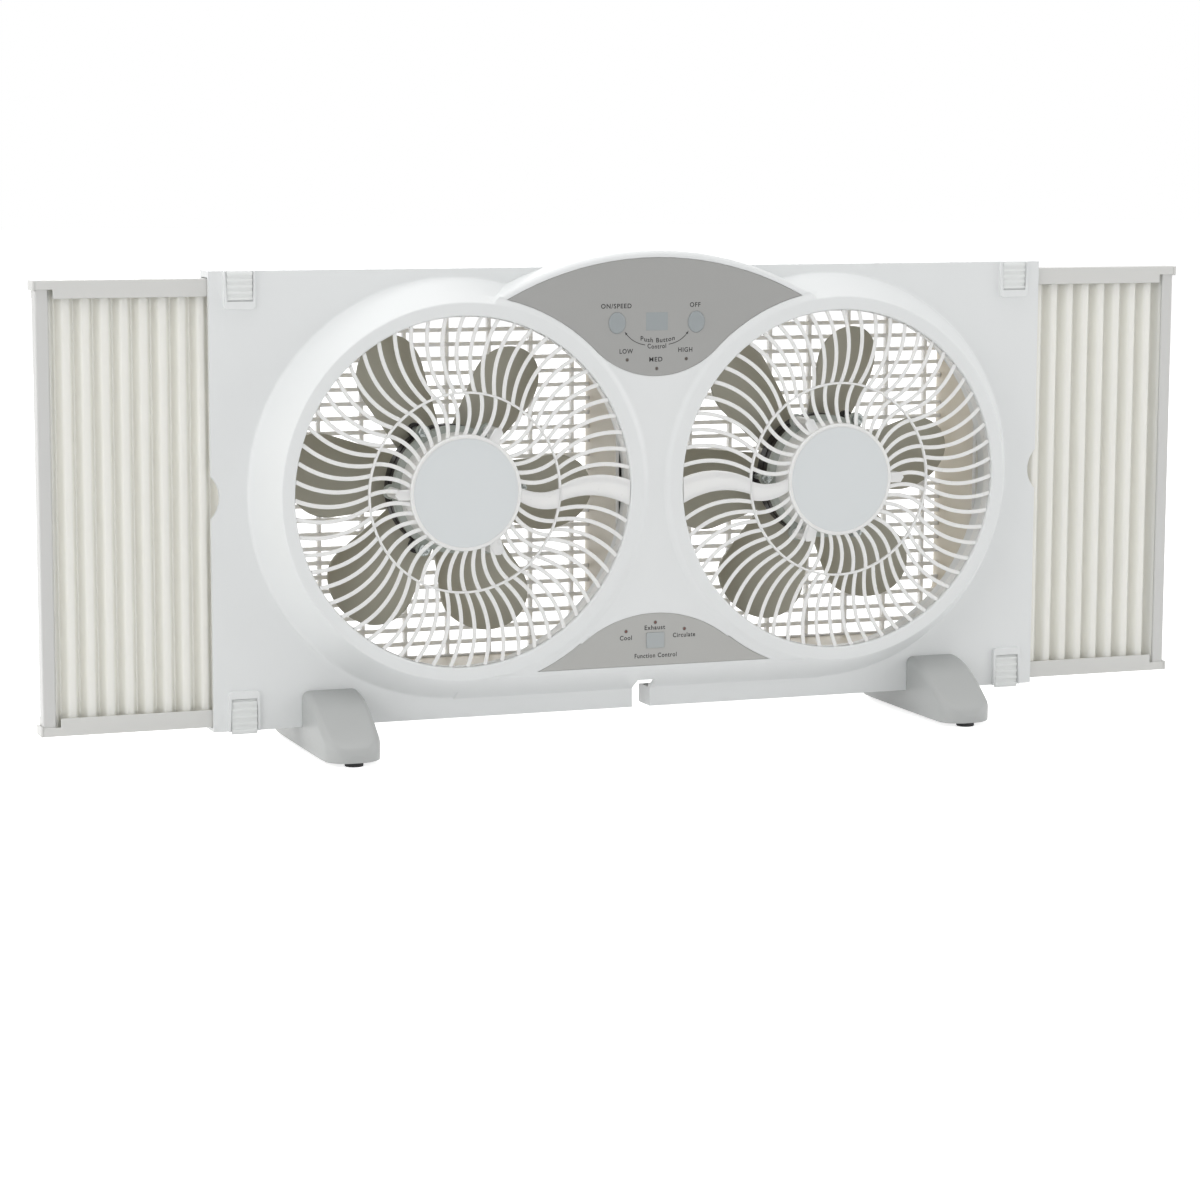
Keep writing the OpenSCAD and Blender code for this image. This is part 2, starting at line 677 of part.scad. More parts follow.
// Key cap with a collar behind the cover and a stem that ends short of its switch
key_front = -28;
stem_end = board_y - switch_h - press_gap;
module oval_key(side) color("#a9b0b3") body_frame() translate([side * button_x, 0, button_z]) {
    slab(key_front, key_front + 0.5) oval(button_r - 0.4);
    slab(key_front + 0.4, -24.4) oval(button_r);
    slab(-24.7, -23.8) oval(button_r + 1.2);
    slab(-24, stem_end) circle(2);
}

module function_button() color("#a9b0b3") body_frame() {
    slab(key_front, -24.4) translate([0, function_z]) rounded(function_w, function_h, 0.8);
    slab(-24.7, -23.8) translate([0, function_z]) square([function_w + 2.4, function_h + 2.4], center = true);
    slab(-24, stem_end) translate([0, function_z]) circle(2);
}

module receiver_window() color("#a9b4b8") body_frame() slab(panel_y, panel_y + panel_t - 0.05)
    translate([0, window_z]) square([window_w, window_h], center = true);

module lamp() {
    slab(panel_y - 0.1, board_y) circle(lamp_r);
    slab(-21, board_y) circle(1.6);
}

module speed_lamps() color("#55504a") body_frame() for (s = [-1, 0, 1])
    translate([s * lamp_x, 0, s == 0 ? speed_z[1] : speed_z[0]]) lamp();

module mode_lamps() color("#6e3f38") body_frame() for (s = [-1, 0, 1])
    translate([s * lamp_x, 0, s == 0 ? mode_z[1] : mode_z[0]]) lamp();

module circuit_boards() color("#3f6b45") body_frame() {
    slab(board_y, board_y + board_t) {
        translate([-36, 238]) square([72, 48]);
        translate([-30, 40]) square([60, 29]);
    }
    slab(board_y - 6, board_y) translate([-3.5, window_z - 3]) square([7, 6]);
    slab(board_y + board_t, board_y + board_t + 12) translate([-14, 246]) square([28, 12]);
    slab(board_y + board_t, board_y + board_t + 9) translate([-12, 264]) square([10, 14]);
    slab(board_y + board_t, board_y + board_t + 8) translate([-10, 46]) square([20, 10]);
}

module tact_switch() {
    slab(board_y - switch_h + 1.5, board_y) square([6, 6], center = true);
    slab(board_y - switch_h, board_y - switch_h + 1.5) circle(1.7);
}

module tact_switches() color("#2b2b2d") body_frame() {
    for (s = [-1, 1]) translate([s * button_x, 0, button_z]) tact_switch();
    translate([0, 0, function_z]) tact_switch();
}

module run_capacitors() color("#c9cbc8") body_frame() for (z = [118, 162])
    translate([-12, 8.5, z]) cube([24, 24.4, 37]);

// Bushing in the back wall where the supply cord would enter
module cord_gland() color("#e9e8e2") body_frame() translate([0, 0, 52]) turned([[3.6, 58], [6.8, 58],
    [6.8, back_y + 0.1], [9, back_y + 0.1], [9, back_y + 2], [6, back_y + 9], [3.6, back_y + 9]]);

// ---- feet ----------------------------------------------------------------------------------

sole_z = -15;
saddle = [-gap, channel_d + gap];
// Side view of a foot, in [y, z]: a round nose, the crest at the plate, the saddle and a like tail
foot_profile = [[foot_front, sole_z], [foot_front, -10.5], [-62.8, -6], [-57.5, -1.2], [-48, 5], [-38, 11.5],
    [-25, 19], [-12, 23.5], [0, 25], [34, 25], [44, 23.5], [55, 19], [66, 11.5], [73, 4.5], [78, -1.2],
    [82.8, -6], [foot_back, -10.5], [foot_back, sole_z]];

// Half of a foot's outline seen from above, in [x, y]: sides that draw in towards round corners
foot_flank = [[0, foot_front], [8, foot_front + 0.9], [13.2, -61.4], [17, -58.2], [19, -54.6], [19.5, -48],
    [foot_w / 2, -36], [foot_w / 2, 56], [19.5, 68], [19, 74.6], [17, 78.2], [13.2, 81.4],
    [8, foot_back - 0.9], [0, foot_back]];

module foot_plan() polygon(concat(foot_flank,
    [for (i = [len(foot_flank) - 2:-1:1]) [-foot_flank[i][0], foot_flank[i][1]]]));

module foot(side) color("#b0b4b3") body_frame() translate([side * foot_x, 0, 0]) difference() {
    intersection() {
        translate([-foot_w / 2, 0, 0]) rotate([90, 0, 90]) linear_extrude(foot_w) polygon(foot_profile);
        translate([0, 0, sole_z - 1]) linear_extrude(50) foot_plan();
    }
    translate([-foot_w, saddle[0], -gap]) cube([2 * foot_w, saddle[1] - saddle[0], 40]);
    for (y = [-44, 30]) translate([-13, y, sole_z - 1]) cube([26, 24, 14]);
}

module foot_pads() color("#1c1c1e") body_frame() for (s = [-1, 1], y = [-56.5, 76.5])
    translate([s * foot_x, y, -foot_h]) cylinder(h = foot_h + sole_z, r = 6.4);

// ---- side panels ---------------------------------------------------------------------------

// Every side-panel piece is drawn for the right side and mirrored for the left
module panel_side(side) mirror([side == LEFT ? 1 : 0, 0, 0]) children();

post_out = reach - cap_t;
post_in = post_out - post_w;

module post(side) color("#dfe2e2") body_frame() panel_side(side)
    translate([post_in, rail_front + rail_t, rail_low + rail_t])
        cube([post_w, rail_back - rail_front - 2 * rail_t, rail_top - rail_low - 2 * rail_t]);

// Channel section with a deep front lip that is cut back beside the post
module rail() difference() {
    translate([rail_inner, rail_front, -rail_h]) cube([post_out - rail_inner, rail_back - rail_front, rail_h]);
    translate([rail_inner - 1, rail_front + rail_t, -rail_h - 1])
        cube([300, rail_back - rail_front - 2 * rail_t, rail_h - rail_t + 1]);
    translate([post_in - 3, rail_front - 1, -rail_h - 1]) cube([40, rail_t + 2, rail_h - band_h + 1]);
}

module top_rail(side) color("#e6e8e8") body_frame() panel_side(side) translate([0, 0, rail_top]) rail();
module bottom_rail(side) color("#e6e8e8") body_frame() panel_side(side)
    translate([0, 0, rail_low]) mirror([0, 0, 1]) rail();

module rail_caps(side) color("#eceeee") body_frame() panel_side(side) for (z = [rail_low - 0.2, rail_top - 6.8])
    translate([post_out, rail_front - 0.5, z]) cube([cap_t, rail_back - rail_front + 1, 7]);

// Folded sheet: broad ridges in front and narrow grooves behind, closed to a solid of its own
// thickness that is measured square to the sheet
pleat_far = post_in - 0.3;
last_groove = 412.5;
groove_depth = pleat_back - pleat_front - sheet_t;
steps = 120;
function pleat_x(i) = pleat_near + (pleat_far - pleat_near) * i / steps;
function fold_y(x) = pleat_front + sheet_t / 2
    + groove_depth * pow((1 + cos(360 * (last_groove - x) / pleat_pitch)) / 2, 1.5);
function fold_slope(i) = i == 0 || i == steps ? 0 : (fold_y(pleat_x(i) + 0.1) - fold_y(pleat_x(i) - 0.1)) / 0.2;
function fold_side(i, t) = let (x = pleat_x(i), m = fold_slope(i), n = norm([m, 1]))
    [x - t * m / n, fold_y(x) + t / n];
module pleat_panel(side) color("#d9d9d0") body_frame() panel_side(side)
    translate([0, 0, rail_low + 4]) linear_extrude(rail_top - rail_low - 8) polygon([
        for (i = [0:steps]) fold_side(i, -sheet_t / 2),
        for (i = [steps:-1:0]) fold_side(i, sheet_t / 2)]);

// ---- slide locks ---------------------------------------------------------------------------

// Ribbed slider in front of the plate, a stem through it and a keeper plate behind
module lock(side, top) color("#e6e8e8") body_frame() {
    z0 = top ? lock_high : -2;
    h = top ? lock_tall : lock_low_tall;
    stem_z = top ? lock_stem_high : lock_stem_low;
    keeper_z = top ? stem_z - 3 : stem_z - 0.5;
    translate([side * lock_x, 0, z0]) {
        translate([-lock_w / 2, -1.4, 0]) cube([lock_w, 1.2, h]);
        for (i = [0:4]) translate([-lock_w / 2, -lock_t, (i + 0.5) * h / 5 - 1]) cube([lock_w, 1, 2]);
    }
    translate([side * lock_x - lock_stem_w / 2, -0.5, stem_z]) cube([lock_stem_w, 4, 4]);
    translate([side * lock_x - 7, plate_t + 0.15, keeper_z]) cube([14, 0.65, 8.5]);
}

// ---- fasteners -----------------------------------------------------------------------------

module housing_screws() color("#b9bdc0") body_frame() screw_places() {
    translate([0, 4.2, 0]) rotate([-90, 0, 0]) cylinder(h = 12.5, r = 1.4);
    translate([0, 16.1, 0]) rotate([-90, 0, 0]) cylinder(h = 2.4, r = 3.4);
}

// ---- the nodes -----------------------------------------------------------------------------

front_cover();
rear_cover();
front_grille(LEFT);  // left_front_grille
front_grille(RIGHT);  // right_front_grille
rear_bars(LEFT);  // left_rear_bars
rear_bars(RIGHT);  // right_rear_bars
rear_ribs(LEFT);  // left_rear_ribs
rear_ribs(RIGHT);  // right_rear_ribs
motor_front_bell(LEFT);  // left_motor_front_bell
motor_front_bell(RIGHT);  // right_motor_front_bell
stator(LEFT);  // left_stator
stator(RIGHT);  // right_stator
windings(LEFT);  // left_windings
windings(RIGHT);  // right_windings
motor_rear_bell(LEFT);  // left_motor_rear_bell
motor_rear_bell(RIGHT);  // right_motor_rear_bell
motor_screws(LEFT);  // left_motor_screws
motor_screws(RIGHT);  // right_motor_screws
bearings(LEFT);  // left_bearings
bearings(RIGHT);  // right_bearings
shaft(LEFT);  // left_shaft
shaft(RIGHT);  // right_shaft
rotor_core(LEFT);  // left_rotor_core
rotor_core(RIGHT);  // right_rotor_core
impeller(LEFT, left_park);  // left_impeller
impeller(RIGHT, right_park);  // right_impeller
impeller_nut(LEFT);  // left_impeller_nut
impeller_nut(RIGHT);  // right_impeller_nut
motor_lead(LEFT);  // left_motor_lead
motor_lead(RIGHT);  // right_motor_lead
upper_panel();
lower_panel();
oval_key(LEFT);  // on_button
oval_key(RIGHT);  // off_button
function_button();
receiver_window();
speed_lamps();
mode_lamps();
circuit_boards();
tact_switches();
run_capacitors();
cord_gland();
foot(LEFT);  // left_foot
foot(RIGHT);  // right_foot
foot_pads();
post(LEFT);  // left_post
post(RIGHT);  // right_post
top_rail(LEFT);  // left_top_rail
top_rail(RIGHT);  // right_top_rail
bottom_rail(LEFT);  // left_bottom_rail
bottom_rail(RIGHT);  // right_bottom_rail
rail_caps(LEFT);  // left_rail_caps
rail_caps(RIGHT);  // right_rail_caps
pleat_panel(LEFT);  // left_pleats
pleat_panel(RIGHT);  // right_pleats
lock(LEFT, true);  // left_top_lock
lock(LEFT, false);  // left_bottom_lock
lock(RIGHT, true);  // right_top_lock
lock(RIGHT, false);  // right_bottom_lock
housing_screws();
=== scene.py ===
# Twin window fan with pull-out pleated side panels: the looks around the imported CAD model.
# Places in the model are in metres. Profiles, outlines and the sizes they are made of are in
# millimetres, and MM turns those into metres. The fan stands on z = 0 and faces -Y.
import json
import math

import bmesh
import bpy
from mathutils import Matrix, Vector


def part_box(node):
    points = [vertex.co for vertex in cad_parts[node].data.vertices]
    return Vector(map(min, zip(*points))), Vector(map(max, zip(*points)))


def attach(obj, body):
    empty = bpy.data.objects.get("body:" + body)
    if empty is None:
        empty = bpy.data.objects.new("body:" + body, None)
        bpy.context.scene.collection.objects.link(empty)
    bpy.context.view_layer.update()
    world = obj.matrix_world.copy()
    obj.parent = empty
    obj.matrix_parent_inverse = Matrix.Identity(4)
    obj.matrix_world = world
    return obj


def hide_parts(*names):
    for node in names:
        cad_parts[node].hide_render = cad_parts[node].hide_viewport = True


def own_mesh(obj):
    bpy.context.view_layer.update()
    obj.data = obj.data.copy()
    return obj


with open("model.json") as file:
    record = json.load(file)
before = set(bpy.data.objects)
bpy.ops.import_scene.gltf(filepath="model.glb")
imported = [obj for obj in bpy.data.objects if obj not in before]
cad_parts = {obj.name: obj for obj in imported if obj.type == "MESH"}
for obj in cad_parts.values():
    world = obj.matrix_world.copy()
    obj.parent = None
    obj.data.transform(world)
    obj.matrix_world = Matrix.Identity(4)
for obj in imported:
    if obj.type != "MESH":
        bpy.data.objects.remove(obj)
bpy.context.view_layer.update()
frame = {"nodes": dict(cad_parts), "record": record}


# ---- The studio ----------------------------------------------------------------------------
# A white floor that runs on to a white surround, wide soft lamps on all sides of the fan, and the
# camera where it stood for the photograph. Nothing here belongs to the fan.


def linear(code, alpha=1.0):
    """A colour written as an sRGB hex code, as the linear values that Blender takes."""
    parts = [int(code[i : i + 2], 16) / 255 for i in (0, 2, 4)]
    return [c / 12.92 if c <= 0.04045 else ((c + 0.055) / 1.055) ** 2.4 for c in parts] + [alpha]


def add(tree, kind, settings, sockets):
    """One node with its settings; a socket takes a value, an output or a node's first output."""
    node = tree.nodes.new(kind)
    for name, value in settings.items():
        setattr(node, name, value)
    for key, value in sockets.items():
        if isinstance(value, bpy.types.Node):
            value = value.outputs[0]
        if isinstance(value, bpy.types.NodeSocket):
            tree.links.new(value, node.inputs[key])
        else:
            node.inputs[key].default_value = value
    return node


def seen_directly(tree):
    """1 for rays that show a surface to the camera, also mirrored or through glass, else 0."""
    rays = add(tree, "ShaderNodeLightPath", {}, {}).outputs
    larger = {"operation": "MAXIMUM"}
    mirrored = {0: rays["Is Glossy Ray"], 1: rays["Is Transmission Ray"]}
    mirrored = add(tree, "ShaderNodeMath", larger, mirrored)
    return add(tree, "ShaderNodeMath", larger, {0: rays["Is Camera Ray"], 1: mirrored})


def blank_material(name):
    """A new material and its empty node tree."""
    material = bpy.data.materials.new(name)
    material.use_nodes = True
    material.node_tree.nodes.clear()
    return material, material.node_tree


scene = bpy.context.scene
scene.view_settings.view_transform = "Standard"

# The camera's place in metres and its turns in radians, fitted to the photograph.
camera_place = Vector((-0.85198, -2.18526, 0.42307))
camera_yaw, camera_pitch, camera_roll = 0.3608, 0.1398, 0.0032
focal_pixels, picture_pixels = 3329.4, 1200
level_ahead = Vector((math.sin(camera_yaw), math.cos(camera_yaw), 0))
ahead = level_ahead * math.cos(camera_pitch) - Vector((0, 0, math.sin(camera_pitch)))
level = Vector((math.cos(camera_yaw), -math.sin(camera_yaw), 0))
above = level.cross(ahead)
across = level * math.cos(camera_roll) + above * math.sin(camera_roll)
upward = above * math.cos(camera_roll) - level * math.sin(camera_roll)
camera_data = bpy.data.cameras.new("camera")
camera_data.sensor_width = 36
camera_data.lens = camera_data.sensor_width * focal_pixels / picture_pixels
camera_data.clip_end = 50
camera = bpy.data.objects.new("camera", camera_data)
camera_turn = Matrix((across, upward, -ahead)).transposed().to_4x4()
camera.matrix_world = Matrix.Translation(camera_place) @ camera_turn
scene.collection.objects.link(camera)
scene.camera = camera

# The surround lights the fan dimly and looks white.
pure_white = linear("FFFFFF")
fill_strength, seen_strength = 0.35, 1.0
world = bpy.data.worlds.new("white_surround")
world.use_nodes = True
surround = world.node_tree
surround.nodes.clear()
shades = []
for strength in (fill_strength, seen_strength):
    shade = {"Color": pure_white, "Strength": strength}
    shades.append(add(surround, "ShaderNodeBackground", {}, shade))
both = {0: seen_directly(surround), 1: shades[0], 2: shades[1]}
both = add(surround, "ShaderNodeMixShader", {}, both)
add(surround, "ShaderNodeOutputWorld", {}, {"Surface": both})
scene.world = world

# Each lamp: its place, what it aims at, its width in metres and its watts.
lamps = {
    "lamp_above": ((-0.2, -0.1, 3.0), (0.0, 0.0, 0.15), 3.0, 48.0),
    "lamp_left": ((-4.6, 0.1, 1.3), (0.0, 0.0, 0.2), 3.0, 58.0),
    "lamp_right": ((3.2, -1.2, 0.9), (0.0, 0.0, 0.2), 2.0, 26.0),
    "lamp_quarter": ((-3.2, -2.4, 1.2), (0.0, 0.0, 0.2), 2.0, 27.0),
    "lamp_behind": ((0.4, 3.2, 1.6), (0.0, 0.0, 0.15), 3.0, 36.0),
    "lamp_front": ((0.9, -2.6, 0.4), (0.05, 0.0, 0.16), 2.0, 4.0),
}
for lamp_name, (place, aim, width, watts) in lamps.items():
    lamp = bpy.data.lights.new(lamp_name, "AREA")
    lamp.shape = "SQUARE"
    lamp.size = width
    lamp.energy = watts
    holder = bpy.data.objects.new(lamp_name, lamp)
    holder.location = place
    way = Vector(aim) - Vector(place)
    holder.rotation_euler = way.to_track_quat("-Z", "Y").to_euler()
    scene.collection.objects.link(holder)

# The floor takes the fan's shadow, and is lifted to the surround's white where it is seen.
floor_size, floor_lift = 12.0, 0.74
floor_mesh = bpy.data.meshes.new("floor")
square = ((-1, -1), (1, -1), (1, 1), (-1, 1))
corners = [(x * floor_size, y * floor_size, 0) for x, y in square]
floor_mesh.from_pydata(corners, [], [(0, 1, 2, 3)])
floor = bpy.data.objects.new("floor", floor_mesh)
scene.collection.objects.link(floor)
paint, tree = blank_material("white_floor")
matt = add(tree, "ShaderNodeBsdfDiffuse", {}, {"Color": linear("F2F2F2")})
glow = add(tree, "ShaderNodeEmission", {}, {"Color": pure_white, "Strength": floor_lift})
lifted = add(tree, "ShaderNodeAddShader", {}, {0: matt, 1: glow})
both = add(tree, "ShaderNodeMixShader", {}, {0: seen_directly(tree), 1: matt, 2: lifted})
add(tree, "ShaderNodeOutputMaterial", {}, {"Surface": both})
floor_mesh.materials.append(paint)


# ---- Front cover ---------------------------------------------------------------------------
# One large injection moulding in white ABS: plate, two rings, arched centre and the channels of
# the side panels. Its faces are satin and very slightly uneven, and every edge is eased.
MM = 0.001


def surface(name, colour, shades, clouds, grain, polish, relief_mm, edge_mm, samples, others):
    """A material whose colour follows wide clouds, and its polish and relief a finer grain.

    Shades and polish are a low and a high value, clouds and grain a size in mm and a detail.
    """
    material, tree = blank_material(name)
    place = add(tree, "ShaderNodeTexCoord", {}, {}).outputs["Object"]
    noises = []
    for size_mm, detail in (clouds, grain):
        noise = {"Vector": place, "Scale": 1 / (size_mm * MM), "Detail": detail}
        noises.append(add(tree, "ShaderNodeTexNoise", {}, noise))
    cloudy, grainy = noises
    base = Vector(linear(colour)[:3])
    dark, light = ([*(base * shade), 1] for shade in shades)
    tint = add(tree, "ShaderNodeMix", {"data_type": "RGBA"}, {0: cloudy, 6: dark, 7: light})
    grain_low, grain_high = 0.3, 0.7
    rough = {0: grainy, 1: grain_low, 2: grain_high, 3: polish[0], 4: polish[1]}
    eased = add(tree, "ShaderNodeBevel", {"samples": samples}, {"Radius": edge_mm * MM})
    relief = {"Strength": 1.0, "Distance": relief_mm * MM, "Height": grainy, "Normal": eased}
    sockets = {
        "Base Color": tint.outputs[2],
        "Roughness": add(tree, "ShaderNodeMapRange", {}, rough),
        "Normal": add(tree, "ShaderNodeBump", {}, relief),
        **others,
    }
    shader = add(tree, "ShaderNodeBsdfPrincipled", {}, sockets)
    add(tree, "ShaderNodeOutputMaterial", {}, {"Surface": shader})
    return material


def moulded(
    name,
    colour,
    roughness,
    edge_mm=0.5,
    mottle=0.03,
    mottle_mm=45,
    grain_mm=1.6,
    grain_depth_mm=0.012,
    soft=0.0,
    soft_mm=4.0,
):
    """Injection-moulded plastic: near-even colour, fine tool texture and an eased edge."""
    spread, plastic_ior, glow_through = 0.05, 1.5, (1.0, 0.97, 0.9)
    return surface(
        name,
        colour,
        shades=(1 - mottle, 1 + mottle),
        clouds=(mottle_mm, 3.0),
        grain=(grain_mm, 2.0),
        polish=(roughness - spread, roughness + spread),
        relief_mm=grain_depth_mm,
        edge_mm=edge_mm,
        samples=6,
        others={
            "IOR": plastic_ior,
            "Subsurface Weight": soft,
            "Subsurface Scale": soft_mm * MM,
            "Subsurface Radius": glow_through,
        },
    )


record = frame["record"]
body_nodes = record["behaviour"]["bodies"].items()
node_body = {node: body for body, nodes in body_nodes for node in nodes}


def show(name, mesh, material, nodes, smooth=30, weigh=True, slot=None, stands_for=True):
    """A finished piece: soft shading, its material, the body it rides on and what it stands for."""
    piece = bpy.data.objects.new(name, mesh)
    scene.collection.objects.link(piece)
    mesh.materials.clear()
    mesh.materials.append(material)
    mesh.shade_smooth()
    mesh.set_sharp_from_angle(angle=math.radians(smooth))
    if weigh:
        modifier = piece.modifiers.new("even_faces", "WEIGHTED_NORMAL")
        modifier.keep_sharp = True
    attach(piece, node_body[nodes[0]])
    if stands_for:
        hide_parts(*nodes)
    return piece


def rounded(work, edges, radius_mm):
    """Turns these edges of a bmesh round."""
    radius, arc_steps = radius_mm * MM, 3
    shape = {"segments": arc_steps, "profile": 0.5, "affect": "EDGES", "clamp_overlap": True}
    bmesh.ops.bevel(work, geom=edges, offset=radius, **shape)


def from_cad(node, material, smooth=30, round_mm=0.0):
    """The CAD node's own shape as one skin, shaded softly and, where asked, with round edges."""
    flat, sharp = math.radians(1), math.radians(35)
    mesh = frame["nodes"][node].data.copy()
    work = bmesh.new()
    work.from_mesh(mesh)
    bmesh.ops.remove_doubles(work, verts=work.verts, dist=1e-6)
    if round_mm:
        bmesh.ops.dissolve_limit(work, angle_limit=flat, verts=work.verts, edges=work.edges)
        whole = [edge for edge in work.edges if edge.is_manifold]
        rounded(work, [edge for edge in whole if edge.calc_face_angle() > sharp], round_mm)
    work.to_mesh(mesh)
    work.free()
    return show(node + "_shape", mesh, material, [node], smooth)


# Satin white ABS: a soft sheen that shows the plate as flat and the rings as round.
white_abs = moulded("satin_white_abs", "EAECEC", 0.36, edge_mm=0.6, mottle=0.012)
from_cad("front_cover", white_abs, smooth=12)

# Beside the cord notch, a thin wall closes each cut end of the bottom channel.
end_wall_middle, end_wall_size = Vector((7.3, 1.1, 25.5)), Vector((1.2, 16.6, 10.9))
end_walls = bmesh.new()
for side in (-1, 1):
    middle = Vector((side * end_wall_middle.x, end_wall_middle.y, end_wall_middle.z)) * MM
    size = Matrix.Diagonal((*(end_wall_size * MM), 1))
    bmesh.ops.create_cube(end_walls, size=1.0, matrix=Matrix.Translation(middle) @ size)
wall_mesh = bpy.data.meshes.new("end_walls")
end_walls.to_mesh(wall_mesh)
end_walls.free()
show("channel_end_walls", wall_mesh, white_abs, ["front_cover"], stands_for=False)


# ---- Front grilles -------------------------------------------------------------------------
# Each grille is a single white moulding: S-curved spokes in two rings, a ring between them, a
# broad arm that hides the motor's lead, a hub cup and three posts that the motor hangs from. It
# is fixed behind the cover's lip. The right one is the left one's mirror image.
LEFT, RIGHT = -1, 1
SIDES = {"left": LEFT, "right": RIGHT}
fan_x, fan_z, face_y = 0.140, 0.1785, -0.010
opening_r, ring_r, hub_r = 120.5, 68.5, 40.0
spoke_front, spoke_depth, spoke_width, spoke_edge = 29.2, 2.9, 1.4, 0.65
spoke_back = spoke_front - spoke_depth
spoke_end = opening_r - 0.2
outer_count, inner_count = 60, 40
outer_bow = {"middle": 95, "half": 26, "rise": 5.6}
inner_bow = {"middle": 54, "half": 13.5, "rise": 2.7}
outer_start, inner_start, inner_slant = 0.4, 0.2, 0.036


def bow(r, middle, half, rise):
    """The angle by which a spoke bows aside at radius r, in radians."""
    return math.asin(rise * (1 - ((r - middle) / half) ** 2) / r)


def outer_turn(r):
    """The angle of an outer spoke's middle line at radius r, in radians."""
    return math.radians(outer_start) + bow(r, **outer_bow)


def inner_turn(r):
    """The angle of an inner spoke's middle line at radius r, in radians."""
    return math.radians(inner_start - inner_slant * (r - hub_r)) - bow(r, **inner_bow)


def spaced(start, end, steps):
    """Evenly spaced values from start to end, both of them included."""
    return [start + (end - start) * i / steps for i in range(steps + 1)]


def polar(r, angle):
    """The flat point at this radius and angle."""
    return (r * math.cos(angle), r * math.sin(angle))


def spoke_line(name, turn, start, end, steps):
    """One spoke's middle line, in the fan's own plane and in metres."""
    flat = [polar(r, turn(r)) for r in spaced(start, end, steps)]
    mesh = bpy.data.meshes.new(name)
    mesh.from_pydata([(x * MM, y * MM, 0) for x, y in flat], [(i, i + 1) for i in range(steps)], [])
    return mesh


def opened_tree(name, inputs):
    """A Geometry Nodes tree with these named inputs, and its input node's outputs."""
    tree = bpy.data.node_groups.new(name, "GeometryNodeTree")
    for label, kind in inputs.items():
        tree.interface.new_socket(label, in_out="INPUT", socket_type="NodeSocket" + kind)
    tree.interface.new_socket("Geometry", in_out="OUTPUT", socket_type="NodeSocketGeometry")
    return tree, add(tree, "NodeGroupInput", {}, {}).outputs


def closed_tree(tree, geometry, material):
    """The tree's end: the copies made real, their material set and the geometry handed out."""
    real = add(tree, "GeometryNodeRealizeInstances", {}, {0: geometry})
    coated = add(tree, "GeometryNodeSetMaterial", {}, {0: real, "Material": material})
    add(tree, "NodeGroupOutput", {}, {"Geometry": coated})
    return tree


def spoke_tree():
    """Geometry Nodes: sweeps a rounded bar along the line and repeats it round the hub."""
    inputs = {"Geometry": "Geometry", "Count": "Int", "Width": "Float", "Depth": "Float"}
    inputs.update({"Edge": "Float", "Plastic": "Material"})
    tree, given = opened_tree("spokes_round_a_hub", inputs)
    curve = add(tree, "GeometryNodeMeshToCurve", {}, {"Mesh": given["Geometry"]})
    flat = add(tree, "GeometryNodeSetCurveNormal", {"mode": "Z_UP"}, {"Curve": curve})
    sizes = {"Width": given["Width"], "Height": given["Depth"]}
    section = add(tree, "GeometryNodeCurvePrimitiveQuadrilateral", {}, sizes)
    corner = {"Curve": section, "Count": 2, "Radius": given["Edge"]}
    section = add(tree, "GeometryNodeFilletCurve", {"mode": "POLY"}, corner)
    sweep = {"Curve": flat, "Profile Curve": section, "Fill Caps": True}
    bar = add(tree, "GeometryNodeCurveToMesh", {}, sweep)
    index = add(tree, "GeometryNodeInputIndex", {}, {})
    step = add(tree, "ShaderNodeMath", {"operation": "DIVIDE"}, {0: 2 * math.pi, 1: given["Count"]})
    angle = add(tree, "ShaderNodeMath", {"operation": "MULTIPLY"}, {0: index, 1: step})
    turn = add(tree, "ShaderNodeCombineXYZ", {}, {"Z": angle})
    points = add(tree, "GeometryNodePoints", {}, {"Count": given["Count"]})
    copies = {"Points": points, "Instance": bar, "Rotation": turn}
    copies = add(tree, "GeometryNodeInstanceOnPoints", {}, copies)
    return closed_tree(tree, copies, given["Plastic"])


def grown(mesh, tree, values):
    """The mesh that a Geometry Nodes tree makes of this one, its inputs set by identifier."""
    holder = bpy.data.objects.new("holder", mesh)
    scene.collection.objects.link(holder)
    modifier = holder.modifiers.new("tree", "NODES")
    modifier.node_group = tree
    for item in tree.interface.items_tree:
        if item.in_out == "INPUT" and item.name in values:
            modifier[item.identifier] = values[item.name]
    holder.update_tag()
    graph = bpy.context.evaluated_depsgraph_get()
    result = bpy.data.meshes.new_from_object(holder.evaluated_get(graph), depsgraph=graph)
    bpy.data.objects.remove(holder)
    return result


def turned(profile, steps=128, closed=False):
    """A profile of (radius, height) points in mm turned about the fan's axis."""
    mesh = bmesh.new()
    rings = []
    for r, z in profile:
        on_axis = r < 1e-6
        angles = [2 * math.pi * i / steps for i in range(1 if on_axis else steps)]
        places = [(0, 0) if on_axis else polar(r, angle) for angle in angles]
        rings.append([mesh.verts.new((x * MM, y * MM, z * MM)) for x, y in places])
    pairs = list(zip(rings, rings[1:]))
    if closed:
        pairs.append((rings[-1], rings[0]))
    for inner, outer in pairs:
        for i in range(steps):
            j = (i + 1) % steps
            near = [inner[i % len(inner)], outer[i % len(outer)]]
            far = [outer[j % len(outer)], inner[j % len(inner)]]
            mesh.faces.new(list(dict.fromkeys(near + far)))
    return mesh


def prism(outline, low, high):
    """A flat outline in mm, raised from one height to the other."""
    mesh = bmesh.new()
    bottom = [mesh.verts.new((x * MM, y * MM, low * MM)) for x, y in outline]
    top = [mesh.verts.new((x * MM, y * MM, high * MM)) for x, y in outline]
    mesh.faces.new(bottom[::-1])
    mesh.faces.new(top)
    for i in range(len(outline)):
        j = (i + 1) % len(outline)
        mesh.faces.new((bottom[i], bottom[j], top[j], top[i]))
    return mesh


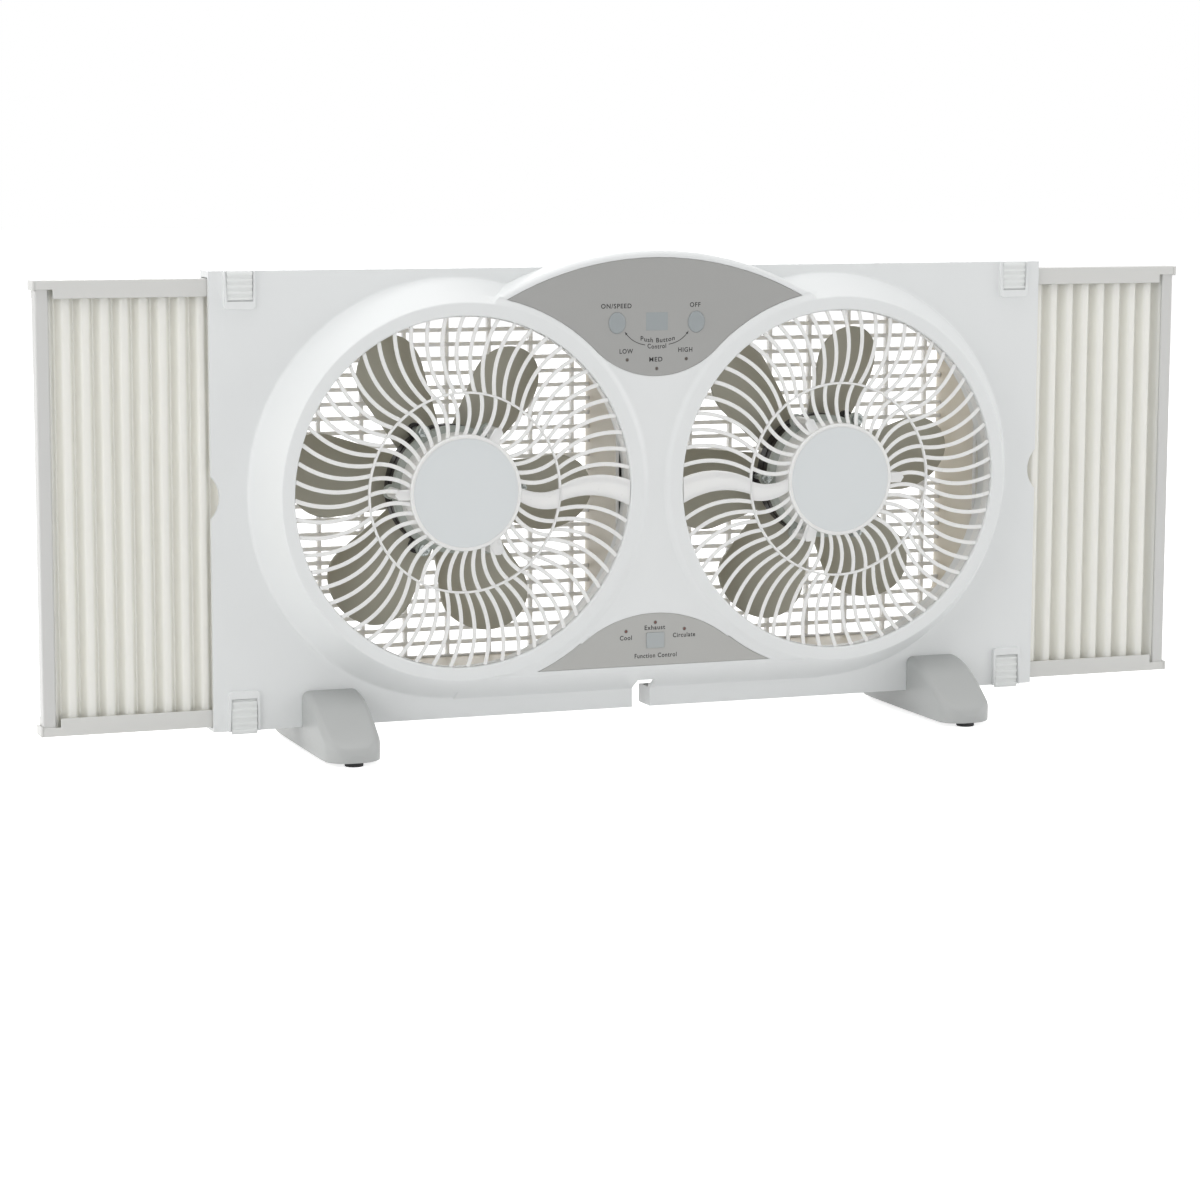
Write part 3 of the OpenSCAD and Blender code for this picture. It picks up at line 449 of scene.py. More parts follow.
def gather(name, parts):
    """Several bmeshes or meshes as one mesh with outward faces."""
    whole = bmesh.new()
    for part in parts:
        if isinstance(part, bmesh.types.BMesh):
            loose = bpy.data.meshes.new("part")
            part.to_mesh(loose)
            part.free()
            part = loose
        whole.from_mesh(part)
        bpy.data.meshes.remove(part)
    bmesh.ops.recalc_face_normals(whole, faces=whole.faces)
    mesh = bpy.data.meshes.new(name)
    whole.to_mesh(mesh)
    whole.free()
    return mesh


def facing(x, z):
    """The move that takes a shape drawn with z towards the viewer to this place on the front."""
    return Matrix.Translation((x, face_y, z)) @ Matrix.Rotation(math.pi / 2, 4, "X")


def on_fan(mesh, side):
    """Moves a mesh from the left fan's own frame to its fan, mirrored for the right one."""
    mesh.transform(facing(side * fan_x, fan_z) @ Matrix.Diagonal((-side, 1, 1, 1)))
    if side == RIGHT:
        mesh.flip_normals()
    return mesh


def rounded_profile(points, radius, steps=3):
    """The closed outline of (radius, height) points with each corner turned round."""
    out = []
    for i, corner in enumerate(points):
        corner = Vector(corner)
        ends = []
        for other in (points[i - 1], points[(i + 1) % len(points)]):
            way = Vector(other) - corner
            ends.append(corner + way.normalized() * min(radius, way.length / 2.2))
        for t in spaced(0, 1, steps):
            out.append(ends[0] * (1 - t) ** 2 + corner * 2 * t * (1 - t) + ends[1] * t**2)
    return [tuple(p) for p in out]


def arm(turn, start, end, steps, before, after):
    """A broad arm from one radius to another, between two lines that follow the spokes."""
    radii = spaced(start, end, steps)
    outline = [polar(r, turn(r) - before) for r in radii]
    outline += [polar(r, turn(r) + after) for r in reversed(radii)]
    return prism(outline, spoke_back, spoke_front - arm_sink)


# Glossy white styrene: it stands out bright against the dark blades, and lets a little light in.
white_grille = moulded(
    "smooth_white_grille_plastic",
    "F3F3F1",
    0.32,
    edge_mm=0.3,
    mottle=0.006,
    grain_mm=4.0,
    grain_depth_mm=0.002,
    soft=0.3,
)
# The grille's own white plastic, painted a cooler grey on this disc as the shade on a flat face
# turned to the front; smoother, so it catches the surround as one even tone.
hub_plate = moulded(
    "hub_plate_painted_shade",
    "DEE2E3",
    0.34,
    edge_mm=0.2,
    mottle=0.006,
    mottle_mm=60,
    grain_depth_mm=0.002,
)
spokes_tree = spoke_tree()
spoke_values = {"Width": spoke_depth * MM, "Depth": spoke_width * MM, "Edge": spoke_edge * MM}
spoke_values["Plastic"] = white_grille
ring_half, ring_edge = 0.75, 0.6
ring_in, ring_out = ring_r - ring_half, ring_r + ring_half
ring_section = [(ring_in, spoke_back), (ring_out, spoke_back)]
ring_section += [(ring_out, spoke_front), (ring_in, spoke_front)]
seat_section = [(119.9, 24.9), (121.0, 24.9), (121.0, 16), (125.5, 16)]
seat_section += [(125.5, 25.8), (120.3, 25.8), (120.3, 26.5), (119.9, 26.5)]
cup_in, cup_back, wall_in, dish = hub_r - 2.6, 6, hub_r - 2.2, 28.9
cup_section = [(0, dish), (cup_in, dish), (cup_in, 29.55), (hub_r - 2.1, 29.9)]
cup_section += [(hub_r - 1.3, 30.0), (hub_r - 0.5, 29.8), (hub_r, 29.2), (hub_r, cup_back)]
cup_section += [(wall_in, cup_back), (wall_in, 27.4), (0, 27.4)]
disc_r, disc_back = hub_r - 2.62, 28.95
disc_section = [(0, 29.8), (22, 29.76), (hub_r - 4, 29.62), (disc_r, 29.54)]
disc_section += [(disc_r, disc_back), (0, disc_back)]
post_ring, post_r, post_back, post_top, post_turns = 46.5, 3.6, 6.2, 28, (60, 180, 300)
post_section = [(0, post_back), (post_r, post_back), (post_r, post_top - 0.6)]
post_section += [(post_r - 0.6, post_top), (0, post_top)]
web_half, web_low, web_high = 2.6, 18, 27.6
toe_half, toe_r, toe_tip, toe_sink = 3.6, 48, 50.4, 0.4
# Each arm reaches from a spoke's pitch before its line to a little after it, in radians.
arm_sink = 0.2
outer_before, outer_after = 2 * math.pi / outer_count + 0.007, math.radians(1.8)
inner_before, inner_after = 2 * math.pi / inner_count + 0.02, 0.02
root_r = hub_r - 1
for side_name, side in SIDES.items():
    line = spoke_line("outer_spoke", outer_turn, ring_r, spoke_end, 12)
    outer = grown(line, spokes_tree, {"Count": outer_count, **spoke_values})
    line = spoke_line("inner_spoke", inner_turn, root_r, ring_r, 8)
    inner = grown(line, spokes_tree, {"Count": inner_count, **spoke_values})
    lift = Matrix.Translation((0, 0, (spoke_front - spoke_depth / 2) * MM))
    outer.transform(lift)
    inner.transform(lift)
    middle_ring = turned(rounded_profile(ring_section, ring_edge), closed=True)
    seat_ring = turned(seat_section, closed=True)
    cup = turned(cup_section)
    disc = on_fan(gather("plate", [turned(disc_section)]), side)
    grille_node = [side_name + "_front_grille"]
    show(side_name + "_hub_plate", disc, hub_plate, grille_node, smooth=35, stands_for=False)
    posts = []
    for degrees in post_turns:
        post = turned(post_section, steps=24)
        bmesh.ops.translate(post, verts=post.verts, vec=(post_ring * MM, 0, 0))
        web = [(root_r, -web_half), (post_ring, -web_half)]
        web += [(post_ring, web_half), (root_r, web_half)]
        toe = [(root_r, -toe_half), (toe_r, -toe_half), (toe_tip, 0)]
        toe += [(toe_r, toe_half), (root_r, toe_half)]
        toe = prism(toe, spoke_back, spoke_front - toe_sink)
        for part in (post, prism(web, web_low, web_high), toe):
            part.transform(Matrix.Rotation(math.radians(degrees), 4, "Z"))
            posts.append(part)
    outer_arm = arm(outer_turn, ring_r, spoke_end, 14, outer_before, outer_after)
    inner_arm = arm(inner_turn, root_r, ring_r, 8, inner_before, inner_after)
    parts = [outer, inner, middle_ring, seat_ring, cup, *posts, outer_arm, inner_arm]
    grille = on_fan(gather(side_name + "_front_grille", parts), side)
    show(side_name + "_front_grille_moulding", grille, white_grille, grille_node, smooth=40)


# ---- Motors --------------------------------------------------------------------------------
# An open induction motor hangs from the grille's posts: two die-cast bells clamp a stack of
# steel sheets between copper windings. The front casting is dull grey and slightly grainy, the
# stack is lacquered black, the rear casting is painted black as the shade it sits in, and the
# bolts, screws and shafts are bright.


def metal(name, colour, roughness, metallic=1.0, grain_mm=0.8, grain_depth_mm=0.03):
    """Bare or painted metal with a fine grain that breaks up its shine."""
    return surface(
        name,
        colour,
        shades=(0.82, 1.12),
        clouds=(grain_mm, 4.0),
        grain=(grain_mm, 4.0),
        polish=(roughness - 0.08, roughness + 0.1),
        relief_mm=grain_depth_mm,
        edge_mm=0.3,
        samples=4,
        others={"Metallic": metallic},
    )


# Die-cast zinc, as cast: pale, mottled and nearly matt.
cast_metal = metal("die_cast_zinc", "B4BAB4", 0.55, 0.1, grain_mm=1.4, grain_depth_mm=0.06)
# Dipped black lacquer on the stack, also painted on the rear casting as shade: a dark band with a
# low sheen round the motor.
black_lacquer_and_shade = metal("black_lacquer_and_painted_shade", "1D1A18", 0.45, 0.1, grain_depth_mm=0.02)
# Punched steel sheets, bright zinc-plated screws and oily bronze bushes.
core_steel = metal("stacked_core_steel", "3A3C3F", 0.5, 0.7, grain_mm=0.5)
bright_steel = metal("zinc_plated_steel", "C6CCCB", 0.3, 0.7)
bronze = metal("sintered_bronze", "A8824A", 0.5)
# Lacquered copper wire: the deep grain stands for its turns.
copper = metal("lacquered_copper_wire", "8A4A28", 0.35, 0.8, grain_mm=0.9, grain_depth_mm=0.2)
# Pale soft vinyl round the lead's wires, duller than the bells beside it.
lead_vinyl = moulded("lead_vinyl", "D8D4C8", 0.5, edge_mm=0.2)
for side_name in SIDES:
    from_cad(side_name + "_motor_front_bell", cast_metal)
    # Painted shade: the rear bell is drawn black for the shade it sits in.
    from_cad(side_name + "_motor_rear_bell", black_lacquer_and_shade)
    from_cad(side_name + "_stator", black_lacquer_and_shade)
    from_cad(side_name + "_windings", copper)
    from_cad(side_name + "_motor_screws", bright_steel)
    from_cad(side_name + "_bearings", bronze)
    from_cad(side_name + "_motor_lead", lead_vinyl)


# ---- Rotors --------------------------------------------------------------------------------
# A ground steel shaft carries the rotor core and, behind the motor, a six-bladed impeller in
# warm grey plastic held by a nut. Both impellers are the same moulding, parked at two angles.

# Warm grey polypropylene: a waxy, even surface, the darkest large tone of the fan.
blade_plastic = moulded("warm_grey_impeller_plastic", "B7B4A5", 0.42, edge_mm=0.5, mottle=0.03)
for side_name in SIDES:
    from_cad(side_name + "_shaft", bright_steel)
    from_cad(side_name + "_rotor_core", core_steel)
    from_cad(side_name + "_impeller", blade_plastic)
    from_cad(side_name + "_impeller_nut", bright_steel)


# ---- Rear cover and rear grilles -----------------------------------------------------------
# The back is an off-white box with an air chamber behind each fan, closed by thin level bars
# that lie on upright ribs. Six screws pull it to the front cover.

# Off-white ABS, less glossy than the front. Its thin walls and bars glow warmly with the light
# that comes through them from behind; beyond that, the chamber walls are painted a warmer, darker
# shade and the bars a paler, lit white.
back_plastic = moulded("off_white_abs", "ECEBE8", 0.4, edge_mm=0.8, mottle=0.015)
# Painted warm shade for the chamber walls, which are the same moulding as the rest of the cover.
chamber_painted_shade_plastic = moulded(
    "chamber_wall_painted_warm_shade",
    "E4DDD0",
    0.45,
    edge_mm=0.8,
    mottle=0.02,
    soft=0.5,
    soft_mm=6.0,
)
# Painted light: the bars and ribs are the cover's own plastic, drawn paler to lift them out of the
# chamber's shade.
bar_painted_light_plastic = moulded(
    "thin_bars_painted_light",
    "FAF7F2",
    0.4,
    edge_mm=0.4,
    mottle=0.01,
    soft=1.0,
    soft_mm=6.0,
)
back_cover = from_cad("rear_cover", back_plastic, smooth=12).data
back_cover.materials.append(chamber_painted_shade_plastic)
# The walls of the two air chambers take a warmer, darker copy of the same plastic: painted shade
# inside the chambers.
chamber_half_wide, chamber_half_tall, chamber_back = 0.1219, 0.1269, 0.0645
for face in back_cover.polygons:
    aside = abs(abs(face.center.x) - fan_x)
    up = abs(face.center.z - fan_z)
    deep = face.center.y - face_y
    if aside < chamber_half_wide and up < chamber_half_tall and deep < chamber_back:
        face.material_index = 1
# In the photograph the bars look about 3 mm thick, so their skins are swelled each way.
bar_pitch, bar_swell = 10.1, 0.5
for side_name in SIDES:
    bars = from_cad(side_name + "_rear_bars", bar_painted_light_plastic)
    for end in bars.data.vertices:
        off = ((end.co.z - fan_z) / MM) % bar_pitch - bar_pitch / 2
        end.co.z += math.copysign(bar_swell * MM, off)
    from_cad(side_name + "_rear_ribs", bar_painted_light_plastic)
from_cad("cord_gland", back_plastic)
from_cad("housing_screws", bright_steel)


# ---- Control panels ------------------------------------------------------------------------
# Two flat grey panels are set into the centre: the upper one round the keys, the receiver's
# window and the speed lamps, the lower one round the mode key and its lamps. Boards, switches
# and capacitors sit behind them, inside the centre.

# Matt polycarbonate film: flat, even greys without a highlight. Both panels are one film; the lower
# one is painted paler as the extra light that falls on it.
upper_grey = moulded("flat_grey_panel_film", "A7A7A5", 0.5, edge_mm=0.2, mottle=0.01)
lower_film_painted_light = moulded("panel_film_painted_paler", "B6B6B3", 0.5, edge_mm=0.2, mottle=0.01)
# Key plastic: a shade bluer than the film, with an edge that catches light. The lower key is the
# same plastic, painted paler as the extra light that falls there.
key_grey = moulded("bluish_grey_key_plastic", "9CA2A4", 0.45, edge_mm=0.5, mottle=0.01)
lower_key_painted_light = moulded("key_plastic_painted_paler", "ADB2B3", 0.45, edge_mm=0.5, mottle=0.01)
# Clear-tinted lenses that look dark while their lamps are off.
lens_dark = moulded("dark_lamp_lens", "5C5048", 0.2, edge_mm=0.2)
lens_red = moulded("reddish_lamp_lens", "7E524B", 0.2, edge_mm=0.2)
# Green solder resist, black nylon and a smooth pale case, which are told apart at a glance.
board_green = moulded("lacquered_board", "3F6B45", 0.35, edge_mm=0.1, grain_mm=3)
switch_black = moulded("switch_plastic", "2B2B2D", 0.45, edge_mm=0.2)
capacitor_plastic = moulded("capacitor_case_plastic", "C9CBC8", 0.3, edge_mm=0.6)
panel_materials = {
    "upper_panel": upper_grey,
    "lower_panel": lower_film_painted_light,
    "speed_lamps": lens_dark,
    "mode_lamps": lens_red,
    "circuit_boards": board_green,
    "tact_switches": switch_black,
    "run_capacitors": capacitor_plastic,
}
for node, material in panel_materials.items():
    from_cad(node, material)

# Each lamp has a narrow bezel round its lens. Heights on the body count from its underside,
# which stands 18 mm above the floor.
body_lift = 18
# Grey plastic a shade darker than the film, so that each lamp has a thin clear rim.
bezel_grey = moulded("lamp_bezel_grey", "7F7D79", 0.4, edge_mm=0.1)
bezel_in, bezel_out, bezel_back, bezel_front = 0.9, 1.35, 27.25, 27.42
bezel_section = [(bezel_in, bezel_back), (bezel_out, bezel_back), (bezel_out, 27.36)]
bezel_section += [(1.2, bezel_front), (bezel_in, bezel_front)]
lamp_places = {
    "speed_lamps": ((-22, 248.7), (0, 242.3), (22, 248.7)),
    "mode_lamps": ((-22, 58.8), (0, 64.3), (22, 58.8)),
}
for node, places in lamp_places.items():
    rings = []
    for x, z in places:
        ring = turned(bezel_section, steps=32, closed=True)
        ring.transform(facing(x * MM, (body_lift + z) * MM))
        rings.append(ring)
    show(node + "_bezels", gather("bezels", rings), bezel_grey, [node], stands_for=False)

# The two oval caps fill their holes almost to the edge; behind each are its collar and stem.
key_tall, key_x, key_z = 1.18, 29.5, 274.3
cap_r, collar_r, stem_r, cap_back, collar_back, stem_back = 6.28, 7.3, 2, 24.7, 23.8, 22.7
key_profile = [(0, 27.7), (2.5, 27.75), (4.4, 27.95), (5.3, 28.0), (5.9, 27.85), (6.2, 27.5)]
key_profile += [(cap_r, 27.1), (cap_r, cap_back), (collar_r, cap_back), (collar_r, collar_back)]
key_profile += [(stem_r, collar_back), (stem_r, stem_back), (0, stem_back)]
for node, side in (("on_button", LEFT), ("off_button", RIGHT)):
    cap = gather("cap", [turned(key_profile, steps=72)])
    oval = Matrix.Diagonal((1, key_tall, 1, 1))
    cap.transform(facing(side * key_x * MM, (body_lift + key_z) * MM) @ oval)
    show(node + "_cap", cap, key_grey, [node], smooth=40)

# The mode key and the receiver's window reach a little further out than their solids, so that no
# gap shows round them, and the window stands a hair proud. Only what lies in front of one plane
# is moved. Each has its material, and its edge, reach and height in mm.
fitted_from_y = -0.0348
close_fits = {
    "function_button": (lower_key_painted_light, 0.5, 0.3, 0.0),
    "receiver_window": (key_grey, 0.0, 0.25, 0.02),
}
for node, (material, round_mm, reach_mm, proud_mm) in close_fits.items():
    piece = from_cad(node, material, round_mm=round_mm)
    low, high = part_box(node)
    middle = (Vector(low) + Vector(high)) / 2
    for corner in piece.data.vertices:
        if corner.co.y < fitted_from_y:
            away = Vector((corner.co.x - middle.x, 0, corner.co.z - middle.z)).normalized()
            corner.co += away * reach_mm * MM - Vector((0, proud_mm * MM, 0))


# ---- Printing on the panels ----------------------------------------------------------------
# Thin black words name the keys, the speeds and the modes, and two arrows lead from the caption
# to the round keys. They are printed flat on the film.
# In mm, but for the boldness and the gap, which are in the typeface's own units.
cap_height, print_proud, line_width, boldness, letter_gap = 3.1, 0.03, 0.5, 0.02, 1.16
panel_front = -0.0373 - print_proud * MM


def typed(words):
    """Words as a flat mesh in the plane of the letters, drawn around their own middle."""
    curve = bpy.data.curves.new("words", "FONT")
    curve.body = words
    curve.offset = boldness
    curve.space_character = letter_gap
    curve.align_x = "CENTER"
    holder = bpy.data.objects.new("words", curve)
    scene.collection.objects.link(holder)
    graph = bpy.context.evaluated_depsgraph_get()
    mesh = bpy.data.meshes.new_from_object(holder.evaluated_get(graph), depsgraph=graph)
    bpy.data.objects.remove(holder)
    return mesh


def on_panel(x, z):
    """The point on the printed film at x and z in mm."""
    return (x * MM, panel_front, (body_lift + z) * MM)


def printed(words, x, z, width, sag=0.0):
    """A word in mm on the panel: centred, set to its width, and bent down in the middle by sag."""
    mesh = typed(words)
    reach = [corner.co.x for corner in mesh.vertices]
    middle, stretch = (min(reach) + max(reach)) / 2, width / (max(reach) - min(reach))
    tall = cap_height / letter_height
    for corner in mesh.vertices:
        u = (corner.co.x - middle) * stretch
        bend = sag * ((2 * u / width) ** 2 - 1)
        corner.co = on_panel(x + u, z - cap_height / 2 + corner.co.y * tall + bend)
    return mesh


def arrow(start, middle, end):
    """A curved line in mm that ends in a small solid head."""
    start, middle, end = Vector(start), Vector(middle), Vector(end)
    tip, barb_back, barb_half, steps = 0.6, 1.8, 0.85, 12
    work = bmesh.new()
    points = [
        start * (1 - t) ** 2 + middle * 2 * t * (1 - t) + end * t**2
        for t in spaced(0, 1, steps)
    ]
    pairs = []
    for i, point in enumerate(points[:-1]):
        way = (points[i + 1] - points[max(i - 1, 0)]).normalized()
        aside = Vector((-way.y, way.x)) * line_width / 2
        pairs.append([work.verts.new(on_panel(*p)) for p in (point + aside, point - aside)])
    for near, far in zip(pairs, pairs[1:]):
        work.faces.new((near[0], near[1], far[1], far[0]))
    heading = (end - middle).normalized()
    sideways = Vector((-heading.y, heading.x)) * barb_half
    barb = end - heading * barb_back
    head = [end + heading * tip, barb + sideways, barb - sideways]
    work.faces.new([work.verts.new(on_panel(*p)) for p in head])
    mesh = bpy.data.meshes.new("arrow")
    work.to_mesh(mesh)
    work.free()
    return mesh


capital = typed("H")
letter_height = max(corner.co.y for corner in capital.vertices)
bpy.data.meshes.remove(capital)
# Each has the middle of its words, across and up the body, and their width.
upper_words = [
    printed("ON/SPEED", -30.2, 286.0, 22.5),
    printed("OFF", 28.5, 286.2, 8.0),
    printed("Push Button", 0.6, 263.6, 25.4, sag=1.6),
    printed("Control", 0.0, 258.2, 13.9, sag=0.5),
    printed("LOW", -22.7, 254.7, 10.0),
    printed("MED", -0.7, 248.8, 9.8),
    printed("HIGH", 21.3, 255.1, 10.6),
    arrow((-8.7, 258.8), (-18.5, 260.4), (-23.5, 267.7)),
    arrow((8.8, 259.0), (18.4, 260.4), (23.3, 267.6)),
]
lower_words = [
    printed("Cool", -22.1, 54.3, 9.0),
    printed("Exhaust", -0.3, 60.8, 15.5),
    printed("Circulate", 21.8, 54.6, 16.9),
    printed("Function Control", 0.4, 41.0, 31.7),
]
# Screen-printing ink: matt black, very slightly uneven.
black_print = moulded(
    "black_panel_print",
    "222120",
    0.55,
    edge_mm=0.02,
    mottle=0.06,
    mottle_mm=4,
)
for panel, words in (("upper", upper_words), ("lower", lower_words)):
    sheet = gather(panel + "_printing", words)
    for face in sheet.polygons:
        if face.normal.y > 0:
            face.flip()
    sheet.update()
    flags = {"weigh": False, "slot": "switch_black", "stands_for": False}
    show(panel + "_printing", sheet, black_print, [panel + "_panel"], **flags)


# ---- Side panels ---------------------------------------------------------------------------
# A pleated cream sheet is held by an upright post and runs in two channel-shaped rails that
# slide behind the plate. Its broad folds lie in front and its narrow grooves behind.


def pleat_tree():
    """Geometry Nodes: an upright sheet folded into ridges and grooves of one pitch."""
    sizes = ("Near", "Length", "Height", "Low", "Front", "Depth", "Groove", "Pitch", "Sharpness")
    inputs = {name: "Float" for name in sizes}
    inputs.update({"Steps": "Int", "Sheet": "Material"})
    tree, given = opened_tree("pleats_of_one_pitch", inputs)
    flat = {"Size X": given["Length"], "Size Y": given["Height"]}
    flat.update({"Vertices X": given["Steps"], "Vertices Y": 2})
    grid = add(tree, "GeometryNodeMeshGrid", {}, flat)
    place = add(tree, "GeometryNodeInputPosition", {}, {})
    place = add(tree, "ShaderNodeSeparateXYZ", {}, {0: place}).outputs
    names = ("ADD", "SUBTRACT", "MULTIPLY", "DIVIDE", "POWER", "COSINE")
    plus, minus, times, over, power, cosine = ({"operation": name} for name in names)
    half_length = add(tree, "ShaderNodeMath", times, {0: given["Length"], 1: 0.5})
    from_near = add(tree, "ShaderNodeMath", plus, {0: place[0], 1: half_length})
    along = add(tree, "ShaderNodeMath", plus, {0: from_near, 1: given["Near"]})
    to_groove = add(tree, "ShaderNodeMath", minus, {0: given["Groove"], 1: along})
    pitches = add(tree, "ShaderNodeMath", over, {0: to_groove, 1: given["Pitch"]})
    angle = add(tree, "ShaderNodeMath", times, {0: pitches, 1: 2 * math.pi})
    wave = add(tree, "ShaderNodeMath", cosine, {0: angle})
    raised = add(tree, "ShaderNodeMath", plus, {0: wave, 1: 1.0})
    share = add(tree, "ShaderNodeMath", times, {0: raised, 1: 0.5})
    sharp = add(tree, "ShaderNodeMath", power, {0: share, 1: given["Sharpness"]})
    fold = add(tree, "ShaderNodeMath", times, {0: sharp, 1: given["Depth"]})
    back = add(tree, "ShaderNodeMath", plus, {0: fold, 1: given["Front"]})
    half_height = add(tree, "ShaderNodeMath", times, {0: given["Height"], 1: 0.5})
    from_low = add(tree, "ShaderNodeMath", plus, {0: place[1], 1: half_height})
    high = add(tree, "ShaderNodeMath", plus, {0: from_low, 1: given["Low"]})
    folded = add(tree, "ShaderNodeCombineXYZ", {}, {"X": along, "Y": back, "Z": high})
    moved = add(tree, "GeometryNodeSetPosition", {}, {"Geometry": grid, "Position": folded})
    return closed_tree(tree, moved, given["Sheet"])


# White ABS again, painted a little greyer than the plate as the shade it stands in, set back from
# it.
rail_painted_shade = moulded("rail_abs_painted_shade", "DADAD7", 0.38, edge_mm=0.5, mottle=0.012)
post_painted_shade = moulded("post_abs_painted_shade", "D4D4D2", 0.38, edge_mm=0.6, mottle=0.012)
# Soft cream vinyl: light passes into the folds, so their shadows stay pale and warm.
pleat_vinyl = moulded(
    "cream_pleated_vinyl",
    "E7E6DC",
    0.42,
    edge_mm=0.1,
    mottle=0.02,
    mottle_mm=30,
    soft=0.8,
    soft_mm=5.0,
)
sheet_thickness = 0.6
pleats_tree = pleat_tree()
# Lengths and places in metres. Near is where the sheet starts and Groove where one fold is back.
pleat_sizes = {
    "Near": 0.2643,
    "Length": 0.1529,
    "Height": 0.296,
    "Low": 0.025,
    "Front": face_y + 0.0064,
    "Depth": 0.0085,
    "Groove": 0.4125,
    "Pitch": 0.01305,
    "Sharpness": 2.4,
    "Steps": 236,
    "Sheet": pleat_vinyl,
}
post_edge, rail_edge, cap_edge = 1.0, 0.45, 0.9
for side_name, side in SIDES.items():
    from_cad(side_name + "_post", post_painted_shade, round_mm=post_edge)
    from_cad(side_name + "_top_rail", rail_painted_shade, round_mm=rail_edge)
    from_cad(side_name + "_bottom_rail", rail_painted_shade, round_mm=rail_edge)
    from_cad(side_name + "_rail_caps", rail_painted_shade, round_mm=cap_edge)
    sheet = grown(bpy.data.meshes.new("sheet"), pleats_tree, pleat_sizes)
    work = bmesh.new()
    work.from_mesh(sheet)
    if side == LEFT:
        bmesh.ops.scale(work, verts=work.verts, vec=(-1, 1, 1))
    bmesh.ops.recalc_face_normals(work, faces=work.faces)
    if sum(face.normal.y for face in work.faces) > 0:
        bmesh.ops.reverse_faces(work, faces=work.faces)
    bmesh.ops.solidify(work, geom=work.faces, thickness=sheet_thickness * MM)
    bmesh.ops.recalc_face_normals(work, faces=work.faces)
    work.to_mesh(sheet)
    work.free()
    pleats_node = [side_name + "_pleats"]
    pleats = show(side_name + "_pleated_sheet", sheet, pleat_vinyl, pleats_node, smooth=50)
    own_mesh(pleats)


# ---- Slide locks ---------------------------------------------------------------------------
# A ribbed white slider at each corner of the plate holds its side panel. It runs between the
# two arms of a thin frame on the plate.

# The same white ABS as the cover, with crisp ribs that cast thin shadows.
lock_plastic = moulded("white_lock_abs", "ECEEED", 0.4, edge_mm=0.4, mottle=0.01)
for side_name in SIDES:
    for part in ("top_lock", "bottom_lock"):
        from_cad(side_name + "_" + part, lock_plastic, round_mm=0.35)

# On the plate, a low border with soft corners closes in on three sides of each lock.
lock_x, frame_half, slot_half, frame_lip = 290, 11.05, 9.3, 5.0
frame_back, frame_proud, frame_bend, frame_edge = -0.1, 2.65, 2.2, 0.7
# For each: the inner edge of its closed side, and the height at which it is open.
lock_ends = (("top", 291.3, 311.9), ("bottom", 22.7, 0.1))
for side_name, side in SIDES.items():
    for part, inner_z, open_z in lock_ends:
        way = 1 if open_z > inner_z else -1
        outer_z = inner_z - way * frame_lip
        outline = [(-frame_half, open_z), (-frame_half, outer_z + way * frame_bend)]
        outline += [(-frame_half + frame_bend * 0.3, outer_z + way * frame_bend * 0.3)]
        outline += [(-frame_half + frame_bend, outer_z)]
        outline += [(-x, z) for x, z in reversed(outline)]
        outline += [(slot_half, open_z), (slot_half, inner_z)]
        outline += [(-slot_half, inner_z), (-slot_half, open_z)]
        border = prism(outline, frame_back, frame_proud)
        border_top = frame_proud * MM * 0.99
        rims = [edge for edge in border.edges if min(end.co.z for end in edge.verts) > border_top]
        rounded(border, rims, frame_edge)
        border.transform(facing(side * lock_x * MM, body_lift * MM))
        border_name = side_name + "_" + part + "_lock_border"
        mesh = gather("border", [border])
        show(border_name, mesh, white_abs, ["front_cover"], stands_for=False)


# ---- Feet ----------------------------------------------------------------------------------
# Two saddle feet in light grey plastic clip over the bottom channel, with black rubber pads.
# Each has a round nose and tail, a top that falls in an arc, and soft edges along its sides.
foot_x, foot_sole, foot_edge, sole_edge = 229.0, -15.0, 5.0, 0.6
foot_front, foot_back, saddle_floor, saddle_front, saddle_back = -64.5, 84.5, -0.2, -0.2, 21.4
# From the nose to the tail: the height of the top, and half the width, at each place.
foot_tops = [(foot_front, -10.5), (-62.8, -6), (-57.5, -1.2), (-48, 5), (-38, 11.5), (-25, 19)]
foot_tops += [(-12, 23.5), (0, 25), (saddle_back, 25), (34, 25), (44, 23.5), (55, 19)]
foot_tops += [(66, 11.5), (73, 4.5), (78, -1.2), (82.8, -6), (foot_back, -10.5)]
foot_halves = [(foot_front, 5), (-63.9, 8.2), (-63, 10.7), (-61.4, 13.6), (-58.2, 17), (-54.6, 19)]
foot_halves += [(-48, 19.6), (-36, 20), (56, 20), (68, 19.6), (74.6, 19), (78.2, 17)]
foot_halves += [(81.4, 13.6), (83, 10.7), (83.9, 8.2), (foot_back, 5)]
foot_steps = [0, 0.3, 0.8, 1.6, 2.8, 4.4, 6.4, 8.6, 11, 14, 18, 23, 28, 34, 40, 46, 52, 58]


def along(points, y):
    """The value at y on a smooth line through the points."""
    for i, (start, end) in enumerate(zip(points, points[1:])):
        if y <= end[0]:
            break
    before, after = points[max(i - 1, 0)], points[min(i + 2, len(points) - 1)]
    reach, rise = end[0] - start[0], end[1] - start[1]
    t = (y - start[0]) / reach
    leave = (end[1] - before[1]) / (end[0] - before[0]) * reach
    arrive = (after[1] - start[1]) / (after[0] - start[0]) * reach
    bent = (3 * rise - 2 * leave - arrive) * t**2 + (leave + arrive - 2 * rise) * t**3
    return start[1] + leave * t + bent


